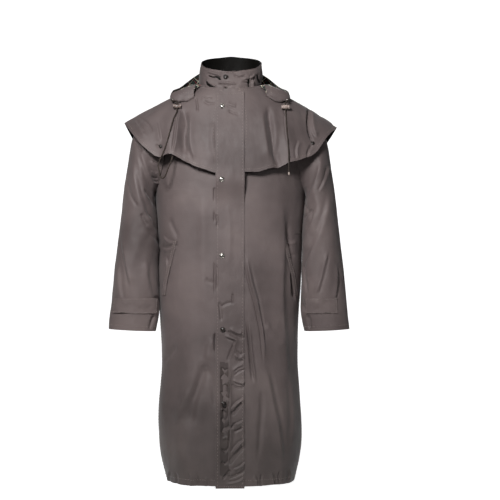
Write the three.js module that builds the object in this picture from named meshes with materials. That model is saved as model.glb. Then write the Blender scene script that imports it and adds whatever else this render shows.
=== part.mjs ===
// A long waterproof riding raincoat, standing open and hollow as it does on a wearer.
// Millimetres, +Z up, +X to the right of someone who faces the coat, front towards -Y.
// The origin is between the shoulders, at the foot of the collar, where the wearer carries it.
// Every cloth piece is a wall: an inner sheet of points, the same sheet moved out by the
// cloth's thickness, and the four rims between them.

import * as THREE from 'three';

// Driving sizes
const CLOTH = 1.6;
const SEAM = 0.3;
const PLY = CLOTH + SEAM;
const FACING = 1.0;
const HEM_Z = -1160;
const SIDE_SEAM_Y = 10;
const PLACKET_HALF = 42;
const PLACKET_TOP = -9;
const STUD_RADIUS = 7.5;
const CORD_DIAMETER = 4;
const ARMPIT = 1;
const SHOULDER = 1.7;
const NECK = 2;
const LEFT = -1;
const RIGHT = 1;

// The coat's rings, from the hem (level 0) over the armpits (1) and shoulder points (1.7)
// to the neck (2). wl and wr are the half widths left and right in the picture.
const COAT = [
  { level: 0.000, wl: 186, wr: 192, front: 162, back: 138, zf: HEM_Z, zs: HEM_Z, zb: HEM_Z },
  { level: 0.050, wl: 199, wr: 201, front: 163, back: 139, zf: -1117, zs: -1117, zb: -1117 },
  { level: 0.120, wl: 210, wr: 214, front: 162, back: 139, zf: -1058, zs: -1058, zb: -1058 },
  { level: 0.250, wl: 213, wr: 211, front: 158, back: 136, zf: -947, zs: -947, zb: -947 },
  { level: 0.410, wl: 202, wr: 201, front: 152, back: 130, zf: -810, zs: -810, zb: -810 },
  { level: 0.570, wl: 209, wr: 204, front: 148, back: 124, zf: -675, zs: -675, zb: -675 },
  { level: 0.700, wl: 214, wr: 212, front: 147, back: 122, zf: -562, zs: -562, zb: -562 },
  { level: 0.880, wl: 217, wr: 217, front: 146, back: 120, zf: -408, zs: -408, zb: -408 },
  { level: 1.000, wl: 223, wr: 223, front: 145, back: 120, zf: -306, zs: -306, zb: -306 },
  { level: 1.250, wl: 222, wr: 222, front: 141, back: 121, zf: -228, zs: -196, zb: -222 },
  { level: 1.500, wl: 215, wr: 215, front: 134, back: 117, zf: -156, zs: -98, zb: -138 },
  { level: 1.700, wl: 203, wr: 203, front: 124, back: 108, zf: -102, zs: -48, zb: -82 },
  { level: 1.850, wl: 150, wr: 150, front: 109, back: 95, zf: -50, zs: -16, zb: -26 },
  { level: 2.000, wl: 93, wr: 93, front: 94, back: 80, zf: 0, zs: 14, zb: 28 },
];
const SQUARENESS = 2.3;

// Large soft folds of the coat below the cape: a ridge (height above 0) or a trough along a
// line from (x0, z0) to (x1, z1). face is -1 on the front and 1 on the back.
const COAT_FOLDS = [
  { face: -1, x0: 58, z0: -470, x1: 104, z1: -930, width: 24, height: 7 },
  { face: -1, x0: 84, z0: -700, x1: 132, z1: -1180, width: 26, height: -7 },
  { face: -1, x0: 150, z0: -820, x1: 160, z1: -1200, width: 26, height: 8 },
  { face: -1, x0: -110, z0: -760, x1: -128, z1: -1200, width: 30, height: 8 },
  { face: -1, x0: -66, z0: -840, x1: -74, z1: -1200, width: 24, height: -6 },
  { face: -1, x0: -168, z0: -620, x1: -150, z1: -960, width: 26, height: -6 },
  { face: 1, x0: -120, z0: -420, x1: -104, z1: -1200, width: 30, height: 9 },
  { face: 1, x0: -40, z0: -560, x1: -46, z1: -1200, width: 26, height: -7 },
  { face: 1, x0: 30, z0: -480, x1: 22, z1: -1200, width: 28, height: 8 },
  { face: 1, x0: 98, z0: -400, x1: 118, z1: -1200, width: 30, height: -8 },
  { face: 1, x0: 160, z0: -640, x1: 166, z1: -1200, width: 26, height: 8 },
];

// Sleeve rings from just outside the armhole to the cuff. (ix, iz) is the ring's point next
// to the body and (ox, oz) its outer point; y is its centre and deep its half depth.
const SLEEVE = [
  { ix: 231, iz: -313, ox: 222, oz: -58, y: 6, deep: 78, tuck: 24 },
  { ix: 233, iz: -322, ox: 247, oz: -76, y: 4, deep: 81, tuck: 12 },
  { ix: 228, iz: -334, ox: 270, oz: -104, y: 1, deep: 83, tuck: 5 },
  { ix: 225.5, iz: -352, ox: 290, oz: -140, y: -4, deep: 83, tuck: 0 },
  { ix: 222.5, iz: -378, ox: 303, oz: -212, y: -11, deep: 82, tuck: 0 },
  { ix: 220.5, iz: -420, ox: 317, oz: -310, y: -20, deep: 79, tuck: 0 },
  { ix: 218.5, iz: -480, ox: 329, oz: -425, y: -29, deep: 74, tuck: 0 },
  { ix: 215.5, iz: -550, ox: 341, oz: -528, y: -37, deep: 67, tuck: 0 },
  { ix: 211.5, iz: -612, ox: 349, oz: -612, y: -42, deep: 58, tuck: 0 },
  { ix: 212, iz: -662, ox: 354, oz: -660, y: -45, deep: 51, tuck: 0 },
  { ix: 222, iz: -714, ox: 359, oz: -708, y: -46, deep: 46, tuck: 0 },
];
const RIGHT_SLEEVE_TRIM = 0.985;
const ARMHOLE_STEPS = 9;
const ARMHOLE_REACH = THREE.MathUtils.degToRad(33);

// Drag folds of a sleeve: ridges or troughs that run round it, from turn0 at ring0 to turn1
// at ring1. Turns count from the body side (0) over the front (90) to the outside (180).
const SLEEVE_FOLDS = [
  { ring0: 2.0, turn0: 120, ring1: 6.0, turn1: 40, width: 17, height: 5 },
  { ring0: 3.0, turn0: 75, ring1: 5.5, turn1: 30, width: 13, height: -5 },
  { ring0: 5.0, turn0: 150, ring1: 8.0, turn1: 75, width: 16, height: 5 },
  { ring0: 6.5, turn0: 95, ring1: 9.0, turn1: 45, width: 15, height: -4 },
  { ring0: 2.5, turn0: 250, ring1: 6.5, turn1: 320, width: 18, height: 5 },
  { ring0: 5.5, turn0: 215, ring1: 8.5, turn1: 290, width: 16, height: -5 },
];

// The cape's hem, by the angle of the neck ring that each point hangs from: 0 is the front,
// 90 the side and 180 the back. lift raises the cloth's middle over the shoulder.
const CAPE_HEM_LEFT = [
  { turn: 0, x: -8, y: -151, z: -250, lift: 9 },
  { turn: 12, x: -43, y: -151, z: -249, lift: 9 },
  { turn: 22, x: -70, y: -150, z: -241, lift: 9 },
  { turn: 32, x: -103, y: -147, z: -230, lift: 10 },
  { turn: 42, x: -138, y: -142, z: -209, lift: 11 },
  { turn: 52, x: -176, y: -131, z: -200, lift: 11 },
  { turn: 60, x: -206, y: -122, z: -203, lift: 11 },
  { turn: 70, x: -248, y: -106, z: -177, lift: 9 },
  { turn: 80, x: -286, y: -66, z: -134, lift: 6 },
  { turn: 90, x: -317, y: 8, z: -94, lift: 2 },
  { turn: 104, x: -290, y: 76, z: -148, lift: 6 },
  { turn: 122, x: -232, y: 124, z: -214, lift: 12 },
  { turn: 150, x: -126, y: 148, z: -262, lift: 12 },
  { turn: 180, x: 0, y: 156, z: -286, lift: 12 },
];
const CAPE_HEM_RIGHT = [
  { turn: 0, x: 8, y: -151, z: -247, lift: 9 },
  { turn: 12, x: 41, y: -151, z: -247, lift: 9 },
  { turn: 22, x: 79, y: -150, z: -247, lift: 9 },
  { turn: 32, x: 116, y: -147, z: -236, lift: 10 },
  { turn: 42, x: 147, y: -142, z: -229, lift: 11 },
  { turn: 52, x: 180, y: -133, z: -220, lift: 11 },
  { turn: 60, x: 212, y: -123, z: -208, lift: 11 },
  { turn: 70, x: 252, y: -107, z: -187, lift: 9 },
  { turn: 80, x: 288, y: -68, z: -138, lift: 6 },
  { turn: 90, x: 321, y: 8, z: -107, lift: 2 },
  { turn: 104, x: 292, y: 76, z: -154, lift: 6 },
  { turn: 122, x: 232, y: 124, z: -214, lift: 12 },
  { turn: 150, x: 126, y: 148, z: -262, lift: 12 },
  { turn: 180, x: 0, y: 156, z: -286, lift: 12 },
];
// Flutes of the cape, along the line that hangs from one angle of the neck, as deep as
// height at the hem.
const CAPE_FLUTES = [
  { side: LEFT, turn: 51, width: 4.5, height: 11 },
  { side: LEFT, turn: 41, width: 4.5, height: -9 },
  { side: LEFT, turn: 74, width: 6, height: 6 },
  { side: RIGHT, turn: 41, width: 5, height: -9 },
  { side: RIGHT, turn: 50, width: 5, height: 7 },
  { side: RIGHT, turn: 69, width: 4, height: -7 },
  { side: LEFT, turn: 118, width: 7, height: 10 },
  { side: RIGHT, turn: 128, width: 8, height: 12 },
  { side: LEFT, turn: 150, width: 8, height: -7 },
  { side: RIGHT, turn: 158, width: 8, height: -6 },
];
const CAPE_EDGE_TURN = 9;

// The collar's foot and top, round the neck: rise is the top's height above the foot.
const COLLAR = [
  { turn: 0, wide: 93, deep: 84, top: 50 },
  { turn: 45, wide: 93, deep: 84, top: 63 },
  { turn: 90, wide: 92, deep: 84, top: 87 },
  { turn: 135, wide: 92, deep: 86, top: 107 },
  { turn: 180, wide: 92, deep: 88, top: 117 },
];
const COLLAR_CENTRE_X = 4;
const COLLAR_INSIDE = 0.9;
const COLLAR_LAP = { start: 36, end: 8, depth: 2.4 };

// The hood, folded down: sections from its front end beside the collar (0) to the middle of
// the back (1). turn and fall place the cloth on the cape; b is the bottom of the fold, s the
// middle of the outer side and r the rim of the hood's opening.
const HOOD = [
  { at: 0.00, turn: 52, fall: 0.24, bx: 107, by: -86, bz: -22, sx: 106, sy: -87, sz: -6, rx: 101, ry: -78, rz: 14 },
  { at: 0.16, turn: 56, fall: 0.33, bx: 138, by: -83, bz: -34, sx: 139, sy: -84, sz: -19, rx: 136, ry: -75, rz: 2 },
  { at: 0.30, turn: 64, fall: 0.32, bx: 173, by: -68, bz: -33, sx: 177, sy: -65, sz: -28, rx: 174, ry: -56, rz: -11 },
  { at: 0.44, turn: 86, fall: 0.27, bx: 165, by: -8, bz: -6, sx: 173, sy: -8, sz: -4, rx: 170, ry: -6, rz: 3 },
  { at: 0.60, turn: 112, fall: 0.31, bx: 162, by: 58, bz: -14, sx: 166, sy: 68, sz: -3, rx: 150, ry: 66, rz: 20 },
  { at: 0.74, turn: 134, fall: 0.40, bx: 145, by: 113, bz: -56, sx: 143, sy: 126, sz: -21, rx: 121, ry: 104, rz: 48 },
  { at: 0.88, turn: 158, fall: 0.52, bx: 84, by: 157, bz: -128, sx: 86, sy: 180, sz: -54, rx: 70, ry: 140, rz: 80 },
  { at: 1.00, turn: 180, fall: 0.62, bx: 0, by: 172, bz: -164, sx: 0, sy: 205, sz: -66, rx: 0, ry: 156, rz: 90 },
];
const HOOD_EASE = 5.5;
const EYELET = { at: 0.26, along: 0.67 };

// Pocket welts: the front edge of the welt, from its top to its foot.
const POCKET_LINE = [
  { x: 153, z: -446 },
  { x: 168, z: -508 },
  { x: 182, z: -566 },
  { x: 188, z: -608 },
];
const POCKET_WIDTH = 10;
const CUFF_TAB = { ring0: 8.05, ring1: 8.98 };
const CUFF_TAB_RIGHT_TURNS = { from: 26, to: 148 };
const CUFF_TAB_LEFT_TURNS = { from: 38, to: 121 };

// Press studs on the front: x and z of the centre, and the piece that carries it.
const STUDS = [
  { name: 'stud_throat', x: -23, z: -54 },
  { name: 'stud_front_1', x: -24.6, z: -269 },
  { name: 'stud_front_2', x: -23.2, z: -490 },
  { name: 'stud_front_3', x: -20.9, z: -705 },
  { name: 'stud_front_4', x: -18.3, z: -920 },
];
const COLLAR_STUD = { turn: -7, up: 0.68 };
const CAPE_STUDS = [
  { name: 'stud_cape_right', side: LEFT, turn: 59.4, along: 0.907, off: 1.5 },
  { name: 'stud_cape_left', side: RIGHT, turn: 70.5, along: 0.91, off: 2.3 },
];

// Drawcords, from the eyelet over the toggle and down the cape to the free end. x and z are
// where they show from the front; off is the height above the cape, below 0 under its hem.
const CORD_RIGHT_END = [
  { x: -157, z: -70, off: 5 },
  { x: -164, z: -86, off: 4 },
  { x: -171, z: -112, off: 4 },
  { x: -178, z: -140, off: 4 },
  { x: -187, z: -170, off: 4 },
  { x: -197, z: -196, off: 5 },
  { x: -205, z: -213, off: 7 },
  { x: -209, z: -228, off: 9 },
  { x: -206, z: -244, off: 10 },
  { x: -204, z: -257, off: 10 },
  { x: -196, z: -266, off: 9 },
  { x: -188, z: -258, off: 7 },
  { x: -182, z: -243, off: 4 },
  { x: -176, z: -228, off: -2 },
  { x: -171, z: -213, off: -8 },
  { x: -167, z: -200, off: -10 },
  { x: -165, z: -190, off: -10 },
];
const CORD_LEFT_END = [
  { x: 164, z: -74, off: 5 },
  { x: 165, z: -94, off: 4 },
  { x: 166, z: -120, off: 4 },
  { x: 168, z: -150, off: 4 },
  { x: 170, z: -180, off: 4 },
  { x: 171, z: -208, off: 5 },
  { x: 171, z: -232, off: 8 },
  { x: 171, z: -250, off: 10 },
];

const rad = THREE.MathUtils.degToRad;
const vec = (x, y, z) => new THREE.Vector3(x, y, z);

// Value of one column of a table at a place between its rows, on a smooth curve.
function column(table, key, name, at) {
  let i = 0;
  while (i < table.length - 2 && at > table[i + 1][key]) i += 1;
  const a = table[Math.max(i - 1, 0)];
  const b = table[i];
  const c = table[i + 1];
  const d = table[Math.min(i + 2, table.length - 1)];
  const span = c[key] - b[key];
  const t = (at - b[key]) / span;
  const rise = (c[name] - b[name]) / span;
  const before = b === a ? rise : (b[name] - a[name]) / (b[key] - a[key]);
  const after = d === c ? rise : (d[name] - c[name]) / (d[key] - c[key]);
  const m0 = before * rise <= 0 ? 0 : (2 * before * rise) / (before + rise);
  const m1 = after * rise <= 0 ? 0 : (2 * after * rise) / (after + rise);
  const t2 = t * t;
  const t3 = t2 * t;
  return (2 * t3 - 3 * t2 + 1) * b[name] + (t3 - 2 * t2 + t) * span * m0
    + (3 * t2 - 2 * t3) * c[name] + (t3 - t2) * span * m1;
}

// Point of a squared ellipse; turn runs from the front (0) over the side to the back.
function squircle(turn, wide, front, back) {
  const s = Math.sin(turn);
  const c = Math.cos(turn);
  const power = 2 / SQUARENESS;
  const deep = c > 0 ? front : back;
  return { x: wide * Math.sign(s) * Math.abs(s) ** power, y: -deep * Math.sign(c) * Math.abs(c) ** power };
}

// How far a table of folds lifts the point (a, b); lines run from (a0, b0) to (a1, b1).
function foldLift(folds, a, b, keys) {
  let lift = 0;
  for (const fold of folds) {
    const da = fold[keys.a1] - fold[keys.a0];
    const db = fold[keys.b1] - fold[keys.b0];
    const along = (b - fold[keys.b0]) / db;
    if (along > 0 && along < 1.2) {
      const off = (a - fold[keys.a0] - da * along) / fold.width;
      const fade = Math.sin(Math.min(along, 0.5) * Math.PI);
      lift += fold.height * fade * Math.exp(-off * off);
    }
  }
  return lift;
}

// Inner point of the coat at a level and turn, on one side.
function coatPoint(side, level, turn) {
  const wide = column(COAT, 'level', side === LEFT ? 'wl' : 'wr', level);
  const front = column(COAT, 'level', 'front', level);
  const back = column(COAT, 'level', 'back', level);
  const ring = squircle(turn, wide, front, back);
  const s2 = Math.sin(turn) ** 2;
  const zMiddle = column(COAT, 'level', Math.cos(turn) > 0 ? 'zf' : 'zb', level);
  const z = zMiddle * (1 - s2) + column(COAT, 'level', 'zs', level) * s2;
  const centre = SIDE_SEAM_Y * Math.min(1, Math.max(0, (NECK - level) / 0.4));
  const x = side * ring.x;
  const face = ring.y < 0 ? -1 : 1;
  const folds = COAT_FOLDS.filter((fold) => fold.face === face);
  const lift = foldLift(folds, x, z, { a0: 'x0', a1: 'x1', b0: 'z0', b1: 'z1' });
  const spread = Math.min(1, Math.abs(ring.y) / 60);
  return vec(x, centre + ring.y + face * lift * spread, z);
}

// Outward normal of any surface of two parameters; outward picks the side.
function normalOf(surface, u, v, outward) {
  const du = surface(u + 0.004, v).sub(surface(u - 0.004, v));
  const dv = surface(u, v + 0.004).sub(surface(u, v - 0.004));
  return du.cross(dv).normalize().multiplyScalar(outward);
}

function coatNormal(side, level, turn) {
  const safe = Math.min(Math.max(turn, 0.03), Math.PI - 0.03);
  const inside = Math.min(level, NECK - 0.005);
  return normalOf((u, v) => coatPoint(side, v, u), safe, inside, side === LEFT ? 1 : -1).negate();
}

// A closed wall from rows of inner points and rows of directions. A ring's rows close on
// themselves. The two sheets are joined by rims at every open edge.
function wallGeometry(points, normals, thick, ring = false) {
  const rows = points.length;
  const cols = points[0].length;
  const position = [];
  for (const shift of [0, thick]) {
    for (let j = 0; j < rows; j += 1) {
      for (let i = 0; i < cols; i += 1) {
        const p = points[j][i].clone().addScaledVector(normals[j][i], shift);
        position.push(p.x, p.y, p.z);
      }
    }
  }
  const index = [];
  const outer = rows * cols;
  const id = (j, i) => j * cols + (i % cols);
  const quad = (a, b, c, d) => index.push(a, b, c, a, c, d);
  const wide = ring ? cols : cols - 1;
  for (let j = 0; j < rows - 1; j += 1) {
    for (let i = 0; i < wide; i += 1) {
      quad(id(j, i), id(j, i + 1), id(j + 1, i + 1), id(j + 1, i));
      quad(outer + id(j, i), outer + id(j + 1, i), outer + id(j + 1, i + 1), outer + id(j, i + 1));
    }
  }
  const last = rows - 1;
  for (let i = 0; i < wide; i += 1) {
    quad(id(0, i), outer + id(0, i), outer + id(0, i + 1), id(0, i + 1));
    quad(id(last, i), id(last, i + 1), outer + id(last, i + 1), outer + id(last, i));
  }
  if (!ring) {
    const end = cols - 1;
    for (let j = 0; j < last; j += 1) {
      quad(id(j, 0), id(j + 1, 0), outer + id(j + 1, 0), outer + id(j, 0));
      quad(id(j, end), outer + id(j, end), outer + id(j + 1, end), id(j + 1, end));
    }
  }
  return facingOut(position, index);
}

// Turns the faces round where they would enclose a negative volume.
function facingOut(position, index) {
  let volume = 0;
  const at = (k) => vec(position[3 * k], position[3 * k + 1], position[3 * k + 2]);
  for (let k = 0; k < index.length; k += 3) {
    volume += at(index[k]).dot(at(index[k + 1]).cross(at(index[k + 2])));
  }
  if (volume < 0) index.reverse();
  const geometry = new THREE.BufferGeometry();
  geometry.setAttribute('position', new THREE.Float32BufferAttribute(position, 3));
  geometry.setIndex(index);
  geometry.computeVertexNormals();
  return geometry;
}

// Rows of points and normals from two functions of whole numbers.
function sheet(rows, cols, point, normal) {
  const points = [];
  const normals = [];
  for (let j = 0; j < rows; j += 1) {
    points.push(Array.from({ length: cols }, (_, i) => point(j, i)));
    normals.push(Array.from({ length: cols }, (_, i) => normal(j, i)));
  }
  return { points, normals };
}

// Normals of rows of points, taken from the points themselves.
function gridNormals(points, outward, ring = false) {
  const cols = points[0].length;
  return points.map((row, j) => row.map((_, i) => {
    const up = points[Math.min(j + 1, points.length - 1)][i];
    const down = points[Math.max(j - 1, 0)][i];
    const next = ring ? row[(i + 1) % cols] : row[Math.min(i + 1, cols - 1)];
    const back = ring ? row[(i + cols - 1) % cols] : row[Math.max(i - 1, 0)];
    return next.clone().sub(back).cross(up.clone().sub(down)).normalize().multiplyScalar(outward);
  }));
}

const LIGHT_CLOTH = new THREE.MeshStandardMaterial({ color: 0x736663, roughness: 0.55 });
const LINING = new THREE.MeshStandardMaterial({ color: 0x14150f, roughness: 0.7 });
const CHECK = new THREE.MeshStandardMaterial({ color: 0x20302a, roughness: 0.8 });
const METAL = new THREE.MeshStandardMaterial({ color: 0xb4b0aa, roughness: 0.3, metalness: 1 });
const CORD = new THREE.MeshStandardMaterial({ color: 0x342824, roughness: 0.8 });
const HORN = new THREE.MeshStandardMaterial({ color: 0xb9aaa6, roughness: 0.4 });

const coat = new THREE.Group();

function addPiece(name, geometry, material) {
  const mesh = new THREE.Mesh(geometry, material);
  mesh.name = name;
  coat.add(mesh);
  return mesh;
}

// Levels of the rows: the skirt, then the armhole's own steps, then the shoulder.
const SKIRT_ROWS = 12;
const SHOULDER_ROWS = 3;
const LEVELS = [];
for (let j = 0; j < SKIRT_ROWS; j += 1) LEVELS.push({ level: (ARMPIT * j) / SKIRT_ROWS, arm: 0 });
for (let j = 0; j <= ARMHOLE_STEPS; j += 1) {
  const turn = (Math.PI * j) / ARMHOLE_STEPS;
  LEVELS.push({ level: ARMPIT + ((SHOULDER - ARMPIT) * (1 - Math.cos(turn))) / 2, arm: Math.sin(turn) });
}
for (let j = 1; j <= SHOULDER_ROWS; j += 1) {
  LEVELS.push({ level: SHOULDER + ((NECK - SHOULDER) * j) / SHOULDER_ROWS, arm: 0 });
}

const FRONT_COLUMNS = 12;
function frontPanel(side) {
  const shift = vec((side * SEAM) / 2, -SEAM / 2, 0);
  const turnAt = (j, i) => ((Math.PI / 2 - ARMHOLE_REACH * LEVELS[j].arm) * i) / FRONT_COLUMNS;
  const { points, normals } = sheet(LEVELS.length, FRONT_COLUMNS + 1,
    (j, i) => coatPoint(side, LEVELS[j].level, turnAt(j, i)).add(shift),
    (j, i) => coatNormal(side, LEVELS[j].level, turnAt(j, i)));
  return wallGeometry(points, normals, CLOTH);
}

const BACK_COLUMNS = 22;
function backPanel() {
  const place = (j, i) => {
    const across = (2 * i) / BACK_COLUMNS - 1;
    const reach = Math.PI / 2 - ARMHOLE_REACH * LEVELS[j].arm;
    return { side: across < 0 ? LEFT : RIGHT, turn: Math.PI - Math.abs(across) * reach };
  };
  const shift = vec(0, SEAM / 2, 0);
  const { points, normals } = sheet(LEVELS.length, BACK_COLUMNS + 1,
    (j, i) => coatPoint(place(j, i).side, LEVELS[j].level, place(j, i).turn).add(shift),
    (j, i) => coatNormal(place(j, i).side, LEVELS[j].level, place(j, i).turn));
  return wallGeometry(points, normals, CLOTH);
}

// The armhole's edge, and the sleeve's rings that follow it. i counts round from the armpit
// over the front to the shoulder point and back behind.
const RING_POINTS = 2 * ARMHOLE_STEPS;
function armholeEdge(side, i) {
  const behind = i > ARMHOLE_STEPS;
  const row = LEVELS[SKIRT_ROWS + (behind ? RING_POINTS - i : i)];
  const reach = Math.PI / 2 - ARMHOLE_REACH * row.arm;
  const turn = behind ? Math.PI - reach : reach;
  return { point: coatPoint(side, row.level, turn), normal: coatNormal(side, row.level, turn) };
}

function sleevePoint(side, ring, turn) {
  const trim = side === RIGHT ? RIGHT_SLEEVE_TRIM : 1;
  const at = (name) => column(SLEEVE_RINGS, 'ring', name, ring);
  const inner = vec(at('ix'), 0, at('iz'));
  const outer = vec(at('ox') * trim, 0, at('oz'));
  const middle = inner.clone().add(outer).multiplyScalar(0.5);
  const arm = outer.clone().sub(inner).multiplyScalar(0.5);
  const degrees = THREE.MathUtils.radToDeg(turn);
  const keys = { a0: 'turn0', a1: 'turn1', b0: 'ring0', b1: 'ring1' };
  const lift = foldLift(SLEEVE_FOLDS, degrees, ring, keys) * Math.sin(turn) ** 2;
  const p = middle.addScaledVector(arm, -Math.cos(turn));
  const tuck = at('tuck') * Math.sin(turn) ** 2;
  return vec(side * (p.x - tuck), at('y') - (at('deep') + lift) * Math.sin(turn), p.z);
}
const SLEEVE_RINGS = SLEEVE.map((row, ring) => ({ ...row, ring }));

function sleevePanel(side) {
  const turnOf = (i) => (2 * Math.PI * i) / RING_POINTS;
  const rows = SLEEVE.map((_, ring) => Array.from({ length: RING_POINTS },
    (_unused, i) => sleevePoint(side, ring, turnOf(i))));
  const edge = Array.from({ length: RING_POINTS }, (_, i) => armholeEdge(side, i));
  const draft = [edge.map((e) => e.point), ...rows];
  const outward = side === LEFT ? 1 : -1;
  const draftNormals = gridNormals(draft, outward, true);
  const first = edge.map((e, i) => {
    const against = Math.max(0, -draftNormals[0][i].dot(e.normal));
    return e.point.clone().addScaledVector(e.normal, PLY + SEAM * 3 + CLOTH * against);
  });
  const points = [first, ...rows];
  return wallGeometry(points, gridNormals(points, outward, true), CLOTH, true);
}

// Knots of the cape's fall: over the coat's own shoulder, then free to the hem.
const CAPE_KNOTS = [
  { level: 2.0, off: PLY },
  { level: 1.9, off: 6 },
  { level: 1.72, off: 11 },
];
function capePoint(side, along, turn) {
  const table = side === LEFT ? CAPE_HEM_LEFT : CAPE_HEM_RIGHT;
  const degrees = THREE.MathUtils.radToDeg(turn);
  const hem = vec(...['x', 'y', 'z'].map((name) => column(table, 'turn', name, degrees)));
  const knots = CAPE_KNOTS.map((knot) => coatPoint(side, knot.level, turn)
    .addScaledVector(coatNormal(side, knot.level, turn), knot.off));
  const up = vec(side * 0.45 * Math.sin(turn), -Math.cos(turn), 0.55).normalize();
  const lift = column(table, 'turn', 'lift', degrees);
  knots.push(knots[2].clone().lerp(hem, 0.5).addScaledVector(up, lift));
  knots.push(hem);
  const p = new THREE.CatmullRomCurve3(knots, false, 'centripetal').getPoint(along);
  let flute = 0;
  for (const row of CAPE_FLUTES.filter((f) => f.side === side)) {
    const off = (degrees - row.turn) / row.width;
    flute += row.height * Math.exp(-off * off) * Math.min(1, Math.max(0, along - 0.45) * 2.2);
  }
  return p.addScaledVector(up, flute);
}

function capeNormal(side, along, turn) {
  const safe = Math.min(Math.max(turn, 0.02), Math.PI - 0.02);
  const inside = Math.min(Math.max(along, 0.01), 0.995);
  return normalOf((u, v) => capePoint(side, v, u), safe, inside, side === LEFT ? -1 : 1).negate();
}

const CAPE_ROWS = 8;
function capeWall(cols, place) {
  const { points, normals } = sheet(CAPE_ROWS + 1, cols + 1,
    (j, i) => capePoint(place(i).side, j / CAPE_ROWS, place(i).turn).add(place(i).shift),
    (j, i) => capeNormal(place(i).side, j / CAPE_ROWS, place(i).turn));
  return wallGeometry(points, normals, CLOTH);
}

const CAPE_FRONT_COLUMNS = 18;
function capeFront(side) {
  const start = rad(CAPE_EDGE_TURN);
  const shift = vec(0, -SEAM / 2, 0);
  return capeWall(CAPE_FRONT_COLUMNS, (i) => (
    { side, turn: start + ((Math.PI / 2 - start) * i) / CAPE_FRONT_COLUMNS, shift }));
}

const CAPE_BACK_COLUMNS = 24;
function capeBack() {
  const shift = vec(0, SEAM / 2, 0);
  return capeWall(CAPE_BACK_COLUMNS, (i) => {
    const across = (2 * i) / CAPE_BACK_COLUMNS - 1;
    return { side: across < 0 ? LEFT : RIGHT, turn: Math.PI * (1 - Math.abs(across) / 2), shift };
  });
}

// The collar stands inside the neck edge. Its strip starts at the lap's start, runs over the
// front and round, and ends under the lap.
function collarPoint(turn, up, inset, lap) {
  const folded = Math.abs(((turn % (2 * Math.PI)) + 3 * Math.PI) % (2 * Math.PI) - Math.PI);
  const degrees = THREE.MathUtils.radToDeg(folded);
  const foot = coatPoint(LEFT, NECK, folded);
  const wide = column(COLLAR, 'turn', 'wide', degrees);
  const deep = column(COLLAR, 'turn', 'deep', degrees);
  const top = column(COLLAR, 'turn', 'top', degrees);
  const ring = squircle(turn, wide, deep, deep);
  const footReach = Math.hypot(foot.x, foot.y);
  const direction = vec(Math.sin(turn) * 1.0, -Math.cos(turn), 0);
  const footRing = vec(Math.sign(Math.sin(turn)) * Math.abs(foot.x), foot.y, foot.z - 2);
  const topRing = vec(ring.x + COLLAR_CENTRE_X, ring.y, top);
  const swell = 3 * Math.sin(Math.PI * up);
  const p = footRing.multiplyScalar(1 - up).addScaledVector(topRing, up);
  p.x *= (footReach - COLLAR_INSIDE) / footReach;
  p.y *= (footReach - COLLAR_INSIDE) / footReach;
  return p.addScaledVector(direction, swell + lap - inset);
}

const COLLAR_ROWS = 4;
const COLLAR_COLUMNS = 36;
function collarWall(firstColumn, inset, thick) {
  const from = rad(COLLAR_LAP.start);
  const to = rad(COLLAR_LAP.end) - 2 * Math.PI;
  const shareOf = (i) => (i + firstColumn) / COLLAR_COLUMNS;
  const turnOf = (i) => from + (to - from) * shareOf(i);
  const under = (i) => -COLLAR_LAP.depth * THREE.MathUtils.smoothstep(shareOf(i), 0.8, 0.9);
  const surface = (u, v) => collarPoint(u, v, inset, 0);
  const { points, normals } = sheet(COLLAR_ROWS + 1, COLLAR_COLUMNS + 1 - firstColumn,
    (j, i) => collarPoint(turnOf(i), j / COLLAR_ROWS, inset, under(i)),
    (j, i) => normalOf(surface, turnOf(i), j / COLLAR_ROWS, 1));
  return wallGeometry(points, normals, thick);
}

// The hood's sheet, from the neck (0) over the cape to the fold's bottom and up to the rim (1).
function hoodPoint(side, at, along) {
  const value = (name) => column(HOOD, 'at', name, at);
  const turn = rad(value('turn'));
  const fall = value('fall');
  const rest = PLY + CLOTH + HOOD_EASE;
  const onCape = (part) => capePoint(side, part, turn).addScaledVector(capeNormal(side, part, turn), rest);
  const knots = [
    onCape(0.05),
    onCape(fall * 0.5),
    onCape(fall),
    vec(side * value('bx'), value('by'), value('bz')),
    vec(side * value('sx'), value('sy'), value('sz')),
    vec(side * value('rx'), value('ry'), value('rz')),
  ];
  return new THREE.CatmullRomCurve3(knots, false, 'centripetal').getPoint(along);
}

const HOOD_SECTIONS = 12;
const HOOD_ALONG = [0, 0.12, 0.24, 0.36, 0.46, 0.54, 0.6, 0.67, 0.76, 0.86, 0.94, 1];
function hoodRows() {
  return HOOD_ALONG.map((along) => {
    const row = [];
    for (let i = -HOOD_SECTIONS; i <= HOOD_SECTIONS; i += 1) {
      row.push(hoodPoint(i < 0 ? LEFT : RIGHT, 1 - Math.abs(i) / HOOD_SECTIONS, along));
    }
    return row;
  });
}

function hoodWall() {
  const points = hoodRows();
  return wallGeometry(points, gridNormals(points, -1), CLOTH);
}

// The lining lies inside the hood's own points, and ends short of the neck and of the band.
function hoodLining() {
  const rows = hoodRows();
  const last = rows.length - 1;
  const normals = gridNormals(rows, 1).slice(1, last);
  const moved = rows.slice(1, last).map((row, j) => (
    row.map((p, i) => p.clone().addScaledVector(normals[j][i], SEAM))));
  return wallGeometry(moved, normals, FACING);
}

// Level and turn of the coat's front at a place seen from the front.
function frontAt(x, z) {
  const side = x < 0 ? LEFT : RIGHT;
  let low = 0;
  let high = NECK;
  let turn = 0;
  for (let k = 0; k < 40; k += 1) {
    const level = (low + high) / 2;
    const wide = column(COAT, 'level', side === LEFT ? 'wl' : 'wr', level);
    turn = Math.asin(Math.min(1, (Math.abs(x) / wide) ** (SQUARENESS / 2)));
    if (coatPoint(side, level, turn).z < z) low = level;
    else high = level;
  }
  return { side, level: (low + high) / 2, turn };
}

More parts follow.
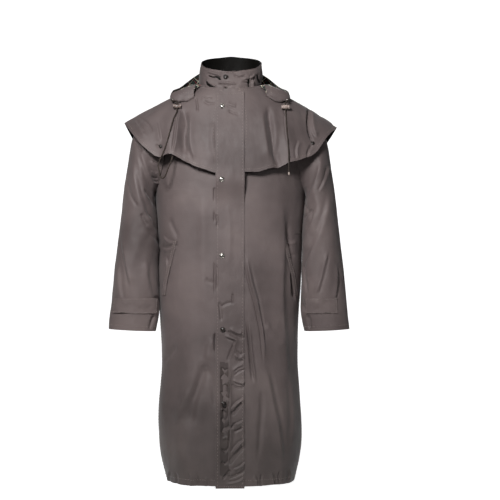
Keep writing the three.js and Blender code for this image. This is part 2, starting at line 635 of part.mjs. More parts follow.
function onFront(x, z, out) {
  const place = frontAt(x, z);
  return coatPoint(place.side, place.level, place.turn)
    .addScaledVector(coatNormal(place.side, place.level, place.turn), out);
}

// The foremost y of the cape at a place seen from the front, or none below its hem.
function capeFrontY(x, z) {
  const side = x < 0 ? LEFT : RIGHT;
  let low = rad(1);
  let high = rad(88);
  for (let k = 0; k < 40; k += 1) {
    const turn = (low + high) / 2;
    if (Math.abs(capeAtHeight(side, turn, z).x) < Math.abs(x)) low = turn;
    else high = turn;
  }
  return capeAtHeight(side, (low + high) / 2, z).y;
}

function capeAtHeight(side, turn, z) {
  let low = 0;
  let high = 1;
  for (let k = 0; k < 30; k += 1) {
    const along = (low + high) / 2;
    if (capePoint(side, along, turn).z > z) low = along;
    else high = along;
  }
  return capePoint(side, (low + high) / 2, turn);
}

// The placket: one strip over the front opening. It lies on the cape's front edges above the
// cape's hem and on the coat below, and its free edge stands off where it gapes.
const PLACKET_LIFT = [
  { z: -1170, rise: 1.4, gape: 5 },
  { z: -1050, rise: 1.4, gape: 9 },
  { z: -880, rise: 1.4, gape: 7 },
  { z: -760, rise: 1.4, gape: 4 },
  { z: -600, rise: 1.4, gape: 1 },
  { z: -330, rise: 1.4, gape: 0 },
  { z: -20, rise: 1.4, gape: 0 },
];
const CAPE_UNDER_PLACKET = { turn: 12, hem: -244, top: -272, clear: -340 };
const PLACKET_ROWS = 30;
const PLACKET_COLUMNS = 5;
function placketPoint(x, z, out) {
  const free = Math.max(0, -x / PLACKET_HALF);
  const rise = column(PLACKET_LIFT, 'z', 'rise', z) + free * free * column(PLACKET_LIFT, 'z', 'gape', z);
  const coatY = onFront(Math.abs(x) < 1 ? 1 : x, z, CLOTH).y;
  const { turn, hem, top, clear } = CAPE_UNDER_PLACKET;
  const capeY = Math.min(...[LEFT, RIGHT].map((side) => (
    capeAtHeight(side, rad(turn), Math.max(z, hem)).y))) - CLOTH;
  const onCape = THREE.MathUtils.smoothstep(z, clear, top);
  return vec(x, coatY * (1 - onCape) + Math.min(coatY, capeY) * onCape - rise - out, z);
}

function placketWall() {
  const bottom = HEM_Z - 5;
  const { points, normals } = sheet(PLACKET_ROWS + 1, PLACKET_COLUMNS + 1,
    (j, i) => placketPoint(PLACKET_HALF * ((2 * i) / PLACKET_COLUMNS - 1),
      bottom + ((PLACKET_TOP - bottom) * j) / PLACKET_ROWS, 0),
    () => vec(0, -1, 0));
  return wallGeometry(points, normals, CLOTH);
}

// A pocket welt lies on the front, between its slanted line and the side.
function pocketWall(side) {
  const rows = 8;
  const cols = 2;
  const line = POCKET_LINE.map((row, at) => ({ ...row, at: at / (POCKET_LINE.length - 1) }));
  const place = (j, i) => {
    const z = column(line, 'at', 'z', j / rows);
    return { x: side * (column(line, 'at', 'x', j / rows) + (POCKET_WIDTH * i) / cols), z };
  };
  const { points, normals } = sheet(rows + 1, cols + 1,
    (j, i) => onFront(place(j, i).x, place(j, i).z, PLY + SEAM * 3),
    (j, i) => onFront(place(j, i).x, place(j, i).z, 1).sub(onFront(place(j, i).x, place(j, i).z, 0)));
  return wallGeometry(points, normals, CLOTH);
}

// A cuff tab goes round the front of the sleeve, just above the hand.
function cuffTab(side) {
  const rows = 3;
  const cols = 12;
  const ringOf = (j) => CUFF_TAB.ring0 + ((CUFF_TAB.ring1 - CUFF_TAB.ring0) * j) / rows;
  const turns = side === LEFT ? CUFF_TAB_RIGHT_TURNS : CUFF_TAB_LEFT_TURNS;
  const turnOf = (i) => rad(turns.from + ((turns.to - turns.from) * i) / cols);
  const normal = (j, i) => normalOf((u, v) => sleevePoint(side, v, u), turnOf(i), ringOf(j), side).negate();
  const { points, normals } = sheet(rows + 1, cols + 1,
    (j, i) => sleevePoint(side, ringOf(j), turnOf(i)).addScaledVector(normal(j, i), PLY + SEAM * 3),
    normal);
  return wallGeometry(points, normals, CLOTH);
}

// Small hard pieces
const STUD_PROFILE = [
  { r: 0, h: 0 },
  { r: STUD_RADIUS, h: 0 },
  { r: STUD_RADIUS, h: 1.4 },
  { r: STUD_RADIUS * 0.8, h: 2.5 },
  { r: STUD_RADIUS * 0.4, h: 3.1 },
  { r: 0, h: 3.2 },
];
function addStud(name, base, direction, scale) {
  const profile = STUD_PROFILE.map((row) => new THREE.Vector2(row.r * scale, row.h * scale));
  const stud = addPiece(name, new THREE.LatheGeometry(profile, 14), METAL);
  stud.quaternion.setFromUnitVectors(vec(0, 1, 0), direction);
  stud.position.copy(base);
}

// The cord comes out of an eyelet in the hood's band and goes down through the toggle.
const TOGGLE = { long: 24, deep: 10, tall: 7, bevel: 1, hole: 2.4 };
function addDrawcord(name, side, toggleAt, table) {
  const at = (u, v) => hoodPoint(side, u, v);
  const normal = normalOf(at, EYELET.at, EYELET.along, side);
  const seat = at(EYELET.at, EYELET.along).addScaledVector(normal, PLY);
  const eyelet = addPiece(`eyelet_${name}`, new THREE.CylinderGeometry(4.5, 4.5, 1.2, 12), METAL);
  eyelet.quaternion.setFromUnitVectors(vec(0, 1, 0), normal);
  eyelet.position.copy(seat.clone().addScaledVector(normal, 0.6));

  const outline = new THREE.Shape();
  const flat = (TOGGLE.long - TOGGLE.deep) / 2;
  outline.absarc(flat, 0, TOGGLE.deep / 2 - TOGGLE.bevel, -Math.PI / 2, Math.PI / 2);
  outline.absarc(-flat, 0, TOGGLE.deep / 2 - TOGGLE.bevel, Math.PI / 2, 1.5 * Math.PI);
  const hole = new THREE.Path();
  hole.absarc(0, 0, TOGGLE.hole + TOGGLE.bevel, 0, 2 * Math.PI, true);
  outline.holes.push(hole);
  const barrel = new THREE.ExtrudeGeometry(outline, {
    depth: TOGGLE.tall, curveSegments: 6, bevelSize: TOGGLE.bevel, bevelThickness: TOGGLE.bevel, bevelSegments: 1,
  });
  const y = capeFrontY(toggleAt.x, toggleAt.z - TOGGLE.deep) - CLOTH - TOGGLE.deep / 2 - SEAM * 2;
  const toggle = addPiece(`toggle_${name}`, barrel, HORN);
  toggle.position.set(toggleAt.x, y, toggleAt.z - TOGGLE.tall / 2);

  const route = [
    seat.clone().addScaledVector(normal, 1.6 + CORD_DIAMETER / 2),
    vec(toggleAt.x, y + 2, toggleAt.z + 12),
    vec(toggleAt.x, y, toggleAt.z + 5),
    vec(toggleAt.x, y, toggleAt.z - 7),
    ...cordRoute(table),
  ];
  addCord(`drawcord_${name}`, route);
}

function cordRoute(table) {
  return table.map((row) => {
    const y = row.z > -215 ? capeFrontY(row.x, row.z) : capeFrontY(row.x, -205);
    return vec(row.x, y - CLOTH - row.off, row.z);
  });
}

function addCord(name, route) {
  const curve = new THREE.CatmullRomCurve3(route, false, 'centripetal');
  const section = new THREE.Shape();
  section.absarc(0, 0, CORD_DIAMETER / 2, 0, 2 * Math.PI);
  const steps = Math.round(curve.getLength() / (2.6 * CORD_DIAMETER));
  const tube = new THREE.ExtrudeGeometry(section, { steps, curveSegments: 4, bevelEnabled: false, extrudePath: curve });
  addPiece(name, tube, CORD);
}

addPiece('front_right', frontPanel(LEFT), LIGHT_CLOTH);
addPiece('front_left', frontPanel(RIGHT), LIGHT_CLOTH);
addPiece('back', backPanel(), LIGHT_CLOTH);
addPiece('sleeve_right', sleevePanel(LEFT), LIGHT_CLOTH);
addPiece('sleeve_left', sleevePanel(RIGHT), LIGHT_CLOTH);
addPiece('cape_right', capeFront(LEFT), LIGHT_CLOTH);
addPiece('cape_left', capeFront(RIGHT), LIGHT_CLOTH);
addPiece('cape_back', capeBack(), LIGHT_CLOTH);

addPiece('collar', collarWall(0, CLOTH, CLOTH), LIGHT_CLOTH);
addPiece('collar_lining', collarWall(3, PLY + FACING, FACING), LINING);

addPiece('hood', hoodWall(), LIGHT_CLOTH);
addPiece('hood_lining', hoodLining(), CHECK);
addPiece('placket', placketWall(), LIGHT_CLOTH);
for (const [name, side] of [['right', LEFT], ['left', RIGHT]]) {
  addPiece(`pocket_${name}`, pocketWall(side), LIGHT_CLOTH);
  addPiece(`cuff_tab_${name}`, cuffTab(side), LIGHT_CLOTH);
}
for (const stud of STUDS) {
  const normal = normalOf((u, v) => placketPoint(10 * u, 10 * v, 0), stud.x / 10, stud.z / 10, 1);
  addStud(stud.name, placketPoint(stud.x, stud.z, 0).addScaledVector(normal, PLY + SEAM), normal, 1);
}
const collarOut = normalOf((u, v) => collarPoint(u, v, 0, 0), rad(COLLAR_STUD.turn), COLLAR_STUD.up, 1);
const collarSeat = collarPoint(rad(COLLAR_STUD.turn), COLLAR_STUD.up, 0, 0);
addStud('stud_collar', collarSeat.addScaledVector(collarOut, SEAM * 2), collarOut, 1);
for (const stud of CAPE_STUDS) {
  const normal = capeNormal(stud.side, stud.along, rad(stud.turn));
  const base = capePoint(stud.side, stud.along, rad(stud.turn)).addScaledVector(normal, CLOTH + stud.off);
  addStud(stud.name, base, normal, 0.7);
}
addDrawcord('right', LEFT, { x: -155, z: -52 }, CORD_RIGHT_END);
addDrawcord('left', RIGHT, { x: 163, z: -54 }, CORD_LEFT_END);

export default coat;
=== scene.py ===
# %% [markdown]
# A long hooded riding raincoat, dressed for its picture. The imported model gives every cloth
# piece, press stud and cord its place and size. This lesson turns those plain walls into worn
# cloth: it takes each piece's outer sheet, smooths it, presses the creases in, gives
# it the thickness of cloth again, and then sews, rivets and lights the coat.

# %% Load the coat
import math

import bmesh
import bpy
import numpy as np
from mathutils import Matrix, Vector, noise
from mathutils.bvhtree import BVHTree


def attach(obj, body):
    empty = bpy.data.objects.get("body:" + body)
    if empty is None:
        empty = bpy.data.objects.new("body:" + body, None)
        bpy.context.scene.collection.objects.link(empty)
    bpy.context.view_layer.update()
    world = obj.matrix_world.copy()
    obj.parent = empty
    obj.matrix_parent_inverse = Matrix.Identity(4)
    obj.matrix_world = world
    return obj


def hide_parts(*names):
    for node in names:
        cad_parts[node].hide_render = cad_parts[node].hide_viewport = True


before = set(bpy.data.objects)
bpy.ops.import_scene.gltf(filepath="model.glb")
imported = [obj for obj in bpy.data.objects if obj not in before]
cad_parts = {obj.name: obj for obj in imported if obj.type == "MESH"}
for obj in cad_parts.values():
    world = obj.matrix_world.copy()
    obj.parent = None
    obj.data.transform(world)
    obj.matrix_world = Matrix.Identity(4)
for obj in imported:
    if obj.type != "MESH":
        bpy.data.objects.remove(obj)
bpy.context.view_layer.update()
bpy.ops.object.select_all(action="DESELECT")

# %% [markdown]
# The coat was photographed straight on, from about four and a half metres, at the height of
# the wearer's waist. A long lens from there keeps the sleeves and the front in proportion.
# The coat hangs a little left of the picture's centre, which a small shift of the lens gives.

# %% Camera
EYE_Y, EYE_Z = -4.5, -0.474
bpy.ops.object.camera_add(location=(0, EYE_Y, EYE_Z), rotation=(math.pi / 2, 0, 0))
camera = bpy.context.object
camera.name = "camera"
camera.data.sensor_width = 36
camera.data.lens = 36 * 4.5 / 1.5
camera.data.shift_x = 0.04
bpy.context.scene.camera = camera
print("lens", camera.data.lens, "mm")

# %% [markdown]
# Two braided drawcords come out of the hood's band, run down through a toggle each and hang
# over the cape. A cord is a curve with a round section. Its points repeat the CAD's route, so
# it lies on the cape where the solid does. The one on the left turns up at its end and goes
# back under the cape; the other ends free, in a sealed tip.

# %% Drawcords
CORD_WIDTH = 0.004
ROUTE_RIGHT = [
    (-172.5, -78.7, -33.1), (-165.5, -85.1, -35.2), (-158.5, -91.4, -37.4), (-154.6, -96.6, -43.5),
    (-154.9, -97.0, -53.2), (-155.4, -97.9, -62.7), (-157.6, -101.1, -71.6), (-161.3, -104.9, -79.7),
    (-164.6, -109.1, -87.8), (-166.9, -114.2, -95.7), (-168.9, -119.3, -103.7), (-171.0, -123.8, -112.1),
    (-173.2, -127.6, -120.7), (-175.3, -130.7, -129.7), (-177.7, -133.0, -138.8), (-180.3, -133.9, -148.1),
    (-183.0, -133.7, -157.4), (-185.9, -133.2, -166.6), (-189.0, -132.7, -175.8), (-192.5, -131.9, -184.9),
    (-196.1, -131.2, -193.8), (-200.2, -131.0, -202.6), (-204.4, -131.1, -211.4), (-207.6, -131.3, -220.5),
    (-209.0, -131.9, -230.0), (-207.0, -133.2, -239.4), (-205.5, -134.0, -249.0), (-203.4, -134.7, -258.3),
    (-197.4, -136.5, -265.6), (-190.2, -139.7, -261.3), (-185.6, -141.8, -253.0), (-182.4, -142.6, -243.9),
    (-178.7, -141.4, -235.0), (-175.4, -139.0, -226.3), (-172.5, -135.7, -217.6), (-169.6, -133.5, -208.6),
    (-166.9, -132.2, -199.4), (-165.0, -130.7, -190.0),
]
ROUTE_LEFT = [
    (172.5, -78.7, -33.1), (167.7, -86.0, -36.8), (163.3, -93.1, -41.3), (163.0, -95.8, -50.2),
    (163.0, -95.5, -59.7), (163.6, -98.3, -68.7), (164.2, -102.2, -77.3), (164.6, -106.2, -85.9),
    (165.0, -110.4, -94.5), (165.3, -114.6, -103.0), (165.6, -118.9, -111.5), (166.0, -122.7, -120.2),
    (166.5, -126.2, -129.0), (167.2, -129.3, -138.0), (167.8, -132.1, -147.1), (168.4, -134.5, -156.2),
    (169.1, -136.5, -165.5), (169.7, -138.3, -174.8), (170.2, -140.2, -184.1), (170.6, -142.2, -193.4),
    (170.9, -144.0, -202.8), (171.1, -145.5, -212.2), (171.0, -146.5, -221.6), (171.0, -147.3, -231.1),
    (171.0, -148.4, -240.5), (171.0, -149.4, -250.0),
]


def lay_cord(name, route):
    bpy.ops.curve.primitive_bezier_curve_add()
    cord = bpy.context.object
    cord.name = name
    spline = cord.data.splines[0]
    spline.bezier_points.add(len(route) - 2)
    for knot, (x, y, z) in zip(spline.bezier_points, route):
        knot.co = (x / 1000, y / 1000, z / 1000)
        knot.handle_left_type = knot.handle_right_type = "AUTO"
    cord.data.bevel_depth = CORD_WIDTH / 2
    cord.data.bevel_resolution = 3
    cord.data.resolution_u = 4
    cord.data.use_fill_caps = True
    return cord


drawcord_right = lay_cord("drawcord_right_braid", ROUTE_RIGHT)
drawcord_left = lay_cord("drawcord_left_braid", ROUTE_LEFT)
print("cords of", len(ROUTE_RIGHT), "and", len(ROUTE_LEFT), "points")

# %% [markdown]
# Every finish starts from what the real one is. One function turns a hex colour to linear
# light, and one adds a node with its settings, links and, for a colour ramp, its stops. A wave
# texture counts twenty bands to a full turn, so its scale for a known pitch is worked out once.

# %% Helpers for finishes
FULL_TURN = 2 * math.pi
BANDS = FULL_TURN / 20
MULTIPLIED = {"data_type": "RGBA", "blend_type": "MULTIPLY"}


def linear(hex_colour):
    parts = [int(hex_colour[i:i + 2], 16) / 255 for i in (1, 3, 5)]
    return (*[c / 12.92 if c <= 0.04045 else ((c + 0.055) / 1.055) ** 2.4 for c in parts], 1)


def add_node(tree, kind, settings=(), values=(), links=(), stops=()):
    made = tree.nodes.new("ShaderNode" + kind)
    for name, value in dict(settings).items():
        setattr(made, name, value)
    for socket, value in dict(values).items():
        made.inputs[socket].default_value = value
    for socket, source in dict(links).items():
        tree.links.new(source, made.inputs[socket])
    for k, (place, colour) in enumerate(stops):
        marks = made.color_ramp.elements
        mark = marks[k] if k < 2 else marks.new(place)
        mark.position, mark.color = place, colour
    return made


def start_finish(name, roughness, metallic=0.0):
    finish = bpy.data.materials.new(name)
    finish.use_nodes = True
    shader = finish.node_tree.nodes["Principled BSDF"]
    shader.inputs["Roughness"].default_value = roughness
    shader.inputs["Metallic"].default_value = metallic
    return finish, finish.node_tree, shader


# %% [markdown]
# The coat's shell is a tightly woven polyester with a waxy proofing: a dull brownish grey
# that goes paler where it has been rubbed, with a soft wide sheen and countless small dents
# from being folded. Its threads are about 0.4 mm apart, too fine for this picture, so the weave
# is drawn at 1.6 mm and kept faint. It follows the cloth's own map, which is in metres.

# %% Coated cloth
WEAVE_PITCH = 0.0016
# Painted shade: from 0.72 m below the origin down to 1.08 m the cloth is drawn darker and slightly greener,
# as the light falls off towards the hem.
HEM_SHADE_TOP, HEM_SHADE_BOTTOM = -0.72, -1.08


def coated_cloth(name, mean, worn, deep, sheen):
    finish, tree, shader = start_finish(name, 0.6)
    place = add_node(tree, "TexCoord")
    clouds = add_node(tree, "TexNoise", values={"Scale": 5, "Detail": 3, "Roughness": 0.55},
                      links={"Vector": place.outputs["Object"]})
    tones = [(0.3, linear(deep)), (0.5, linear(mean)), (0.72, linear(worn))]
    tone = add_node(tree, "ValToRGB", links={"Fac": clouds.outputs["Fac"]}, stops=tones)
    threads = [add_node(tree, "TexWave", {"bands_direction": way}, {"Scale": BANDS / WEAVE_PITCH},
                        {"Vector": place.outputs["UV"]}) for way in ("X", "Y")]
    weave = add_node(tree, "Math", {"operation": "MULTIPLY"},
                     links={0: threads[0].outputs["Fac"], 1: threads[1].outputs["Fac"]})
    dents = add_node(tree, "TexNoise", values={"Scale": 55, "Detail": 3, "Roughness": 0.55},
                     links={"Vector": place.outputs["Object"]})
    fleck = add_node(tree, "ValToRGB", links={"Fac": weave.outputs["Value"]},
                     stops=[(0.0, (0.92, 0.92, 0.92, 1)), (1.0, (1.05, 1.05, 1.05, 1))])
    woven = add_node(tree, "Mix", MULTIPLIED, {"Factor": 1.0},
                     {"A": tone.outputs["Color"], "B": fleck.outputs["Color"]})
    # Painted shade towards the hem: the height sets how much the colour is darkened.
    split = add_node(tree, "SeparateXYZ", links={"Vector": place.outputs["Object"]})
    hem_shade_depth = add_node(tree, "MapRange", values={"From Min": HEM_SHADE_TOP, "From Max": HEM_SHADE_BOTTOM},
                    links={"Value": split.outputs["Z"]})
    hem_shade_tint = add_node(tree, "ValToRGB", links={"Fac": hem_shade_depth.outputs["Result"]},
                      stops=[(0.0, (1, 1, 1, 1)), (1.0, (0.72, 0.74, 0.72, 1))])
    colour = add_node(tree, "Mix", MULTIPLIED, {"Factor": 1.0},
                      {"A": woven.outputs["Result"], "B": hem_shade_tint.outputs["Color"]})
    gloss = add_node(tree, "MapRange", values={"To Min": 0.52, "To Max": 0.74},
                     links={"Value": dents.outputs["Fac"]})
    soft = add_node(tree, "Bump", values={"Strength": 0.35, "Distance": 0.002},
                    links={"Height": dents.outputs["Fac"]})
    fine = add_node(tree, "Bump", values={"Strength": 0.12, "Distance": 0.0003},
                    links={"Height": weave.outputs["Value"], "Normal": soft.outputs["Normal"]})
    tree.links.new(colour.outputs["Result"], shader.inputs["Base Color"])
    tree.links.new(gloss.outputs["Result"], shader.inputs["Roughness"])
    tree.links.new(fine.outputs["Normal"], shader.inputs["Normal"])
    shader.inputs["Sheen Weight"].default_value = 0.1 * sheen
    shader.inputs["Sheen Roughness"].default_value = 0.5
    shader.inputs["Specular IOR Level"].default_value = 0.4 * sheen
    return finish


shell_cloth = coated_cloth("proofed polyester", "#5C5150", "#6B5F5D", "#4B4140", 1.0)
# Painted shade: a darker copy of the shell cloth, for the strip's rippled free edge where it lies in shade.
shaded_cloth = coated_cloth("polyester painted with underlap shade", "#463C3A", "#564B49", "#332B2A", 1.0)
lining_cloth = coated_cloth("black taffeta lining", "#0C0A08", "#12100D", "#080705", 0.25)
print("cloths", shell_cloth.name, "and", lining_cloth.name)

# %% [markdown]
# The hood is lined with a dark woven check: bottle green and black, with thin cream lines and
# a thin red one. A check is the same stripe twice, once along the warp and once across the
# weft, and where both meet the colours mix. One stripe table serves both ways.

# %% Woven check
CHECK_REPEAT = 0.036
STRIPE = [
    (0.00, "#1A3226"), (0.24, "#0A0D0B"), (0.42, "#1A3226"), (0.52, "#E6DCC4"), (0.60, "#1A3226"),
    (0.70, "#0A0D0B"), (0.83, "#8E2026"), (0.88, "#0A0D0B"),
]


def woven_check(name):
    finish, tree, shader = start_finish(name, 0.85)
    place = add_node(tree, "TexCoord")
    split = add_node(tree, "SeparateXYZ", links={"Vector": place.outputs["UV"]})
    stripes = []
    for way in ("X", "Y"):
        turns = add_node(tree, "Math", {"operation": "DIVIDE"}, {1: CHECK_REPEAT},
                         {0: split.outputs[way]})
        within = add_node(tree, "Math", {"operation": "FRACT"}, links={0: turns.outputs[0]})
        stops = [(at, linear(colour)) for at, colour in STRIPE]
        stripe = add_node(tree, "ValToRGB", links={"Fac": within.outputs[0]}, stops=stops)
        stripe.color_ramp.interpolation = "CONSTANT"
        stripes.append(stripe)
    both = add_node(tree, "Mix", {"data_type": "RGBA", "blend_type": "LIGHTEN"}, {"Factor": 1.0},
                    {"A": stripes[0].outputs["Color"], "B": stripes[1].outputs["Color"]})
    twill = add_node(tree, "TexWave", {"bands_direction": "DIAGONAL"}, {"Scale": 220},
                     {"Vector": place.outputs["UV"]})
    rib = add_node(tree, "Bump", values={"Strength": 0.3, "Distance": 0.0004},
                   links={"Height": twill.outputs["Fac"]})
    tree.links.new(both.outputs["Result"], shader.inputs["Base Color"])
    tree.links.new(rib.outputs["Normal"], shader.inputs["Normal"])
    shader.inputs["Sheen Weight"].default_value = 0.2
    return finish


check_cloth = woven_check("woven cotton check")
print("check repeats every", CHECK_REPEAT * 1000, "mm")

# %% [markdown]
# The small hard pieces: press studs of pressed brass, nickel plated and slightly brushed by
# wear; toggles moulded in a glossy pale plastic; cords braided from dark brown polyester.

# %% Nickel, plastic, braid and thread


def nickel_plate():
    finish, tree, shader = start_finish("nickel plated brass", 0.28, 1.0)
    place = add_node(tree, "TexCoord")
    wear = add_node(tree, "TexNoise", values={"Scale": 400, "Detail": 2},
                    links={"Vector": place.outputs["Object"]})
    tone = add_node(tree, "ValToRGB", links={"Fac": wear.outputs["Fac"]},
                    stops=[(0.3, linear("#A8A39C")), (0.7, linear("#D2CEC8"))])
    rough = add_node(tree, "MapRange", values={"To Min": 0.2, "To Max": 0.36},
                     links={"Value": wear.outputs["Fac"]})
    tree.links.new(tone.outputs["Color"], shader.inputs["Base Color"])
    tree.links.new(rough.outputs["Result"], shader.inputs["Roughness"])
    return finish


def moulded(name, low, high, rough):
    finish, tree, shader = start_finish(name, rough)
    place = add_node(tree, "TexCoord")
    flow = add_node(tree, "TexNoise", values={"Scale": 120, "Detail": 2},
                    links={"Vector": place.outputs["Object"]})
    tone = add_node(tree, "ValToRGB", links={"Fac": flow.outputs["Fac"]},
                    stops=[(0.35, linear(low)), (0.65, linear(high))])
    skin = add_node(tree, "Bump", values={"Strength": 0.1, "Distance": 0.0002},
                    links={"Height": flow.outputs["Fac"]})
    tree.links.new(tone.outputs["Color"], shader.inputs["Base Color"])
    tree.links.new(skin.outputs["Normal"], shader.inputs["Normal"])
    return finish


def braided(name, low, high, pitch):
    finish, tree, shader = start_finish(name, 0.8)
    place = add_node(tree, "TexCoord")
    strands = [add_node(tree, "TexWave", {"bands_direction": "DIAGONAL"},
                        {"Scale": BANDS / pitch, "Distortion": 0.4},
                        {"Vector": add_node(tree, "Mapping", values={"Scale": (turn, 1, 1)},
                                            links={"Vector": place.outputs["Object"]}).outputs["Vector"]})
               for turn in (1, -1)]
    crossing = add_node(tree, "Math", {"operation": "MAXIMUM"},
                        links={0: strands[0].outputs["Fac"], 1: strands[1].outputs["Fac"]})
    tone = add_node(tree, "ValToRGB", links={"Fac": crossing.outputs["Value"]},
                    stops=[(0.2, linear(low)), (0.9, linear(high))])
    relief = add_node(tree, "Bump", values={"Strength": 0.7, "Distance": 0.0006},
                      links={"Height": crossing.outputs["Value"]})
    tree.links.new(tone.outputs["Color"], shader.inputs["Base Color"])
    tree.links.new(relief.outputs["Normal"], shader.inputs["Normal"])
    shader.inputs["Sheen Weight"].default_value = 0.05
    return finish


nickel = nickel_plate()
toggle_plastic = moulded("glossy moulded plastic", "#8F7F78", "#AD9D96", 0.3)
# The toggle on the wearer's right is drawn in a darker copy of the moulded plastic.
toggle_dark = moulded("darker copy of the moulded plastic", "#3A2F2B", "#8A7A73", 0.35)
# Painted shade: the groove between a stud's cap and its rim is drawn dark for the shade in it.
stud_shade = moulded("painted shade in the stud groove", "#1A1613", "#2A2420", 0.6)
cord_braid = braided("braided polyester cord", "#150F0D", "#33271F", 0.0022)
cord_tip = moulded("melted cord end", "#8E8078", "#B5A79E", 0.4)
sewing_thread = moulded("polyester sewing thread", "#7F746E", "#978B84", 0.6)
print("hard finishes", len(bpy.data.materials))

# %% [markdown]
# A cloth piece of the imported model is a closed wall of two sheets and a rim. The picture needs
# a much finer outer sheet. It could be modelled anew, but the coat would then have two shapes.
# So the node's own outer sheet is kept: its doubled points are merged, its triangles are
# joined to quads, the rim is dropped and of the two sheets the outer one stays. Its map is
# unwrapped while it is still coarse, and scaled to real metres.

# %% Take the outer sheet of a cloth piece
WALL = 0.0016
FACING_WALL = 0.0010
SAME_PLACE = 2e-5
RIM_LIMIT = 1.12


def activate(piece):
    bpy.ops.object.select_all(action="DESELECT")
    piece.select_set(True)
    bpy.context.view_layer.objects.active = piece


def take_sheet(node, wall=WALL, inside=(0.0, 0.0), by_size=None):
    bm = bmesh.new()
    bm.from_mesh(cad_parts[node].data)
    bmesh.ops.remove_doubles(bm, verts=bm.verts, dist=SAME_PLACE)
    bmesh.ops.join_triangles(bm, faces=bm.faces, angle_face_threshold=1.2, angle_shape_threshold=1.6)
    rims = [f for f in bm.faces if min(e.calc_length() for e in f.edges) < wall * RIM_LIMIT]
    bmesh.ops.delete(bm, geom=rims, context="FACES")
    left, sheets = set(bm.faces), []
    while left:
        stack, found = [left.pop()], []
        while stack:
            face = stack.pop()
            found.append(face)
            for near in {n for e in face.edges for n in e.link_faces} & left:
                left.discard(near)
                stack.append(near)
        sheets.append(found)
    sheets = sorted(sheets, key=len)[-2:]

    def away(found):
        if by_size:
            points = np.array([v.co for f in found for v in f.verts])
            return by_size * np.prod(points.max(0) - points.min(0))
        centre = Vector((*inside, 0))
        return sum(f.normal.xy.dot(f.calc_center_median().xy - centre.xy) * f.calc_area() for f in found)

    outer = max(sheets, key=away)
    drop = [f for f in bm.faces if f not in set(outer)]
    bmesh.ops.delete(bm, geom=drop, context="FACES")
    mesh = bpy.data.meshes.new(f"{node}_cloth")
    bm.to_mesh(mesh)
    bm.free()
    piece = bpy.data.objects.new(f"{node}_cloth", mesh)
    bpy.context.scene.collection.objects.link(piece)
    activate(piece)
    return piece


CORRECTIONS = 3


def map_flat(piece):
    bpy.ops.object.mode_set(mode="EDIT")
    bpy.ops.mesh.select_all(action="SELECT")
    bpy.ops.uv.unwrap(method="ANGLE_BASED", margin=0)
    bpy.ops.object.mode_set(mode="OBJECT")
    uv = piece.data.uv_layers[0].data
    flat = 0.0
    for face in piece.data.polygons:
        corners = [uv[i].uv for i in face.loop_indices]
        flat += abs(sum(a.x * b.y - b.x * a.y for a, b in zip(corners, corners[1:] + corners[:1]))) / 2
    scale = math.sqrt(sum(f.area for f in piece.data.polygons) / flat)
    for corner in uv:
        corner.uv = corner.uv * scale


def map_round(piece, centre, reach):
    layer = piece.data.uv_layers.new(name="UVMap")
    for face in piece.data.polygons:
        turns = []
        for v in face.vertices:
            p = piece.data.vertices[v].co
            turns.append(math.atan2(p.x - centre[0], p.y - centre[1]))
        if max(turns) - min(turns) > math.pi:
            turns = [t + FULL_TURN if t < 0 else t for t in turns]
        for loop, v, turn in zip(face.loop_indices, face.vertices, turns):
            layer.data[loop].uv = (turn * reach, piece.data.vertices[v].co.z)


def refine(piece, levels=3):
    smooth = piece.modifiers.new("smooth", "SUBSURF")
    smooth.levels = smooth.render_levels = levels
    smooth.boundary_smooth = "PRESERVE_CORNERS"
    corners = piece.data.vertices
    count = len(corners)
    wanted = np.empty(count * 3)
    corners.foreach_get("co", wanted)
    control = wanted.copy()
    for _ in range(CORRECTIONS):
        smoothed = piece.evaluated_get(bpy.context.evaluated_depsgraph_get()).data
        now = np.empty(len(smoothed.vertices) * 3)
        smoothed.vertices.foreach_get("co", now)
        control += wanted - now[:count * 3]
        corners.foreach_set("co", control)
        piece.data.update()
    bpy.ops.object.modifier_apply(modifier=smooth.name)
    print(piece.name, len(piece.data.polygons), "faces")


# %% [markdown]
# Creases make this coat: sharp ridges beside the front strip, drag folds on the sleeves,
# flutes in the cape, puckers along every seam. Simulation would put folds where it likes, so
# each one is pressed in along the line where it shows. A table row has the crease's
# half width and height in millimetres, the side that it leans to, and the points of its line
# as the camera sees them. A ridge that leans has a shallow trough at its foot.

# %% Press creases along listed lines
DEPTH = 1.35
NARROW = 6
FADE_SHARE = 0.22


def as_seen(points, behind=False):
    if behind:
        return np.stack((points[:, 0], points[:, 2]), 1) * 1000
    near = -EYE_Y / (points[:, 1] - EYE_Y)
    return np.stack((points[:, 0] * near, EYE_Z + (points[:, 2] - EYE_Z) * near), 1) * 1000


def smooth_line(knots, steps=8):
    knots = np.array(knots, float)
    full = np.vstack((2 * knots[0] - knots[1], knots, 2 * knots[-1] - knots[-2]))
    line = []
    for a, b, c, d in zip(full, full[1:], full[2:], full[3:]):
        for t in np.arange(steps) / steps:
            line.append(0.5 * (2 * b + (c - a) * t + (2 * a - 5 * b + 4 * c - d) * t ** 2
                               + (3 * b - a - 3 * c + d) * t ** 3))
    return np.array([*line, knots[-1]])


def distance_to(line, seen):
    nearest = np.full(len(seen), 1e9)
    along, across = np.zeros(len(seen)), np.zeros(len(seen))
    for k, (a, b) in enumerate(zip(line, line[1:])):
        step = b - a
        share = np.clip(((seen - a) @ step) / max(step @ step, 1e-9), 0, 1)
        off = seen - a - share[:, None] * step
        gap = np.hypot(*off.T)
        closer = gap < nearest
        nearest[closer] = gap[closer]
        along[closer] = (k + share[closer]) / (len(line) - 1)
        across[closer] = np.sign(step[0] * off[closer, 1] - step[1] * off[closer, 0])
    return nearest * across, along


def close_to(line, seen, margin):
    return np.flatnonzero(((seen > line.min(0) - margin) & (seen < line.max(0) + margin)).all(1))


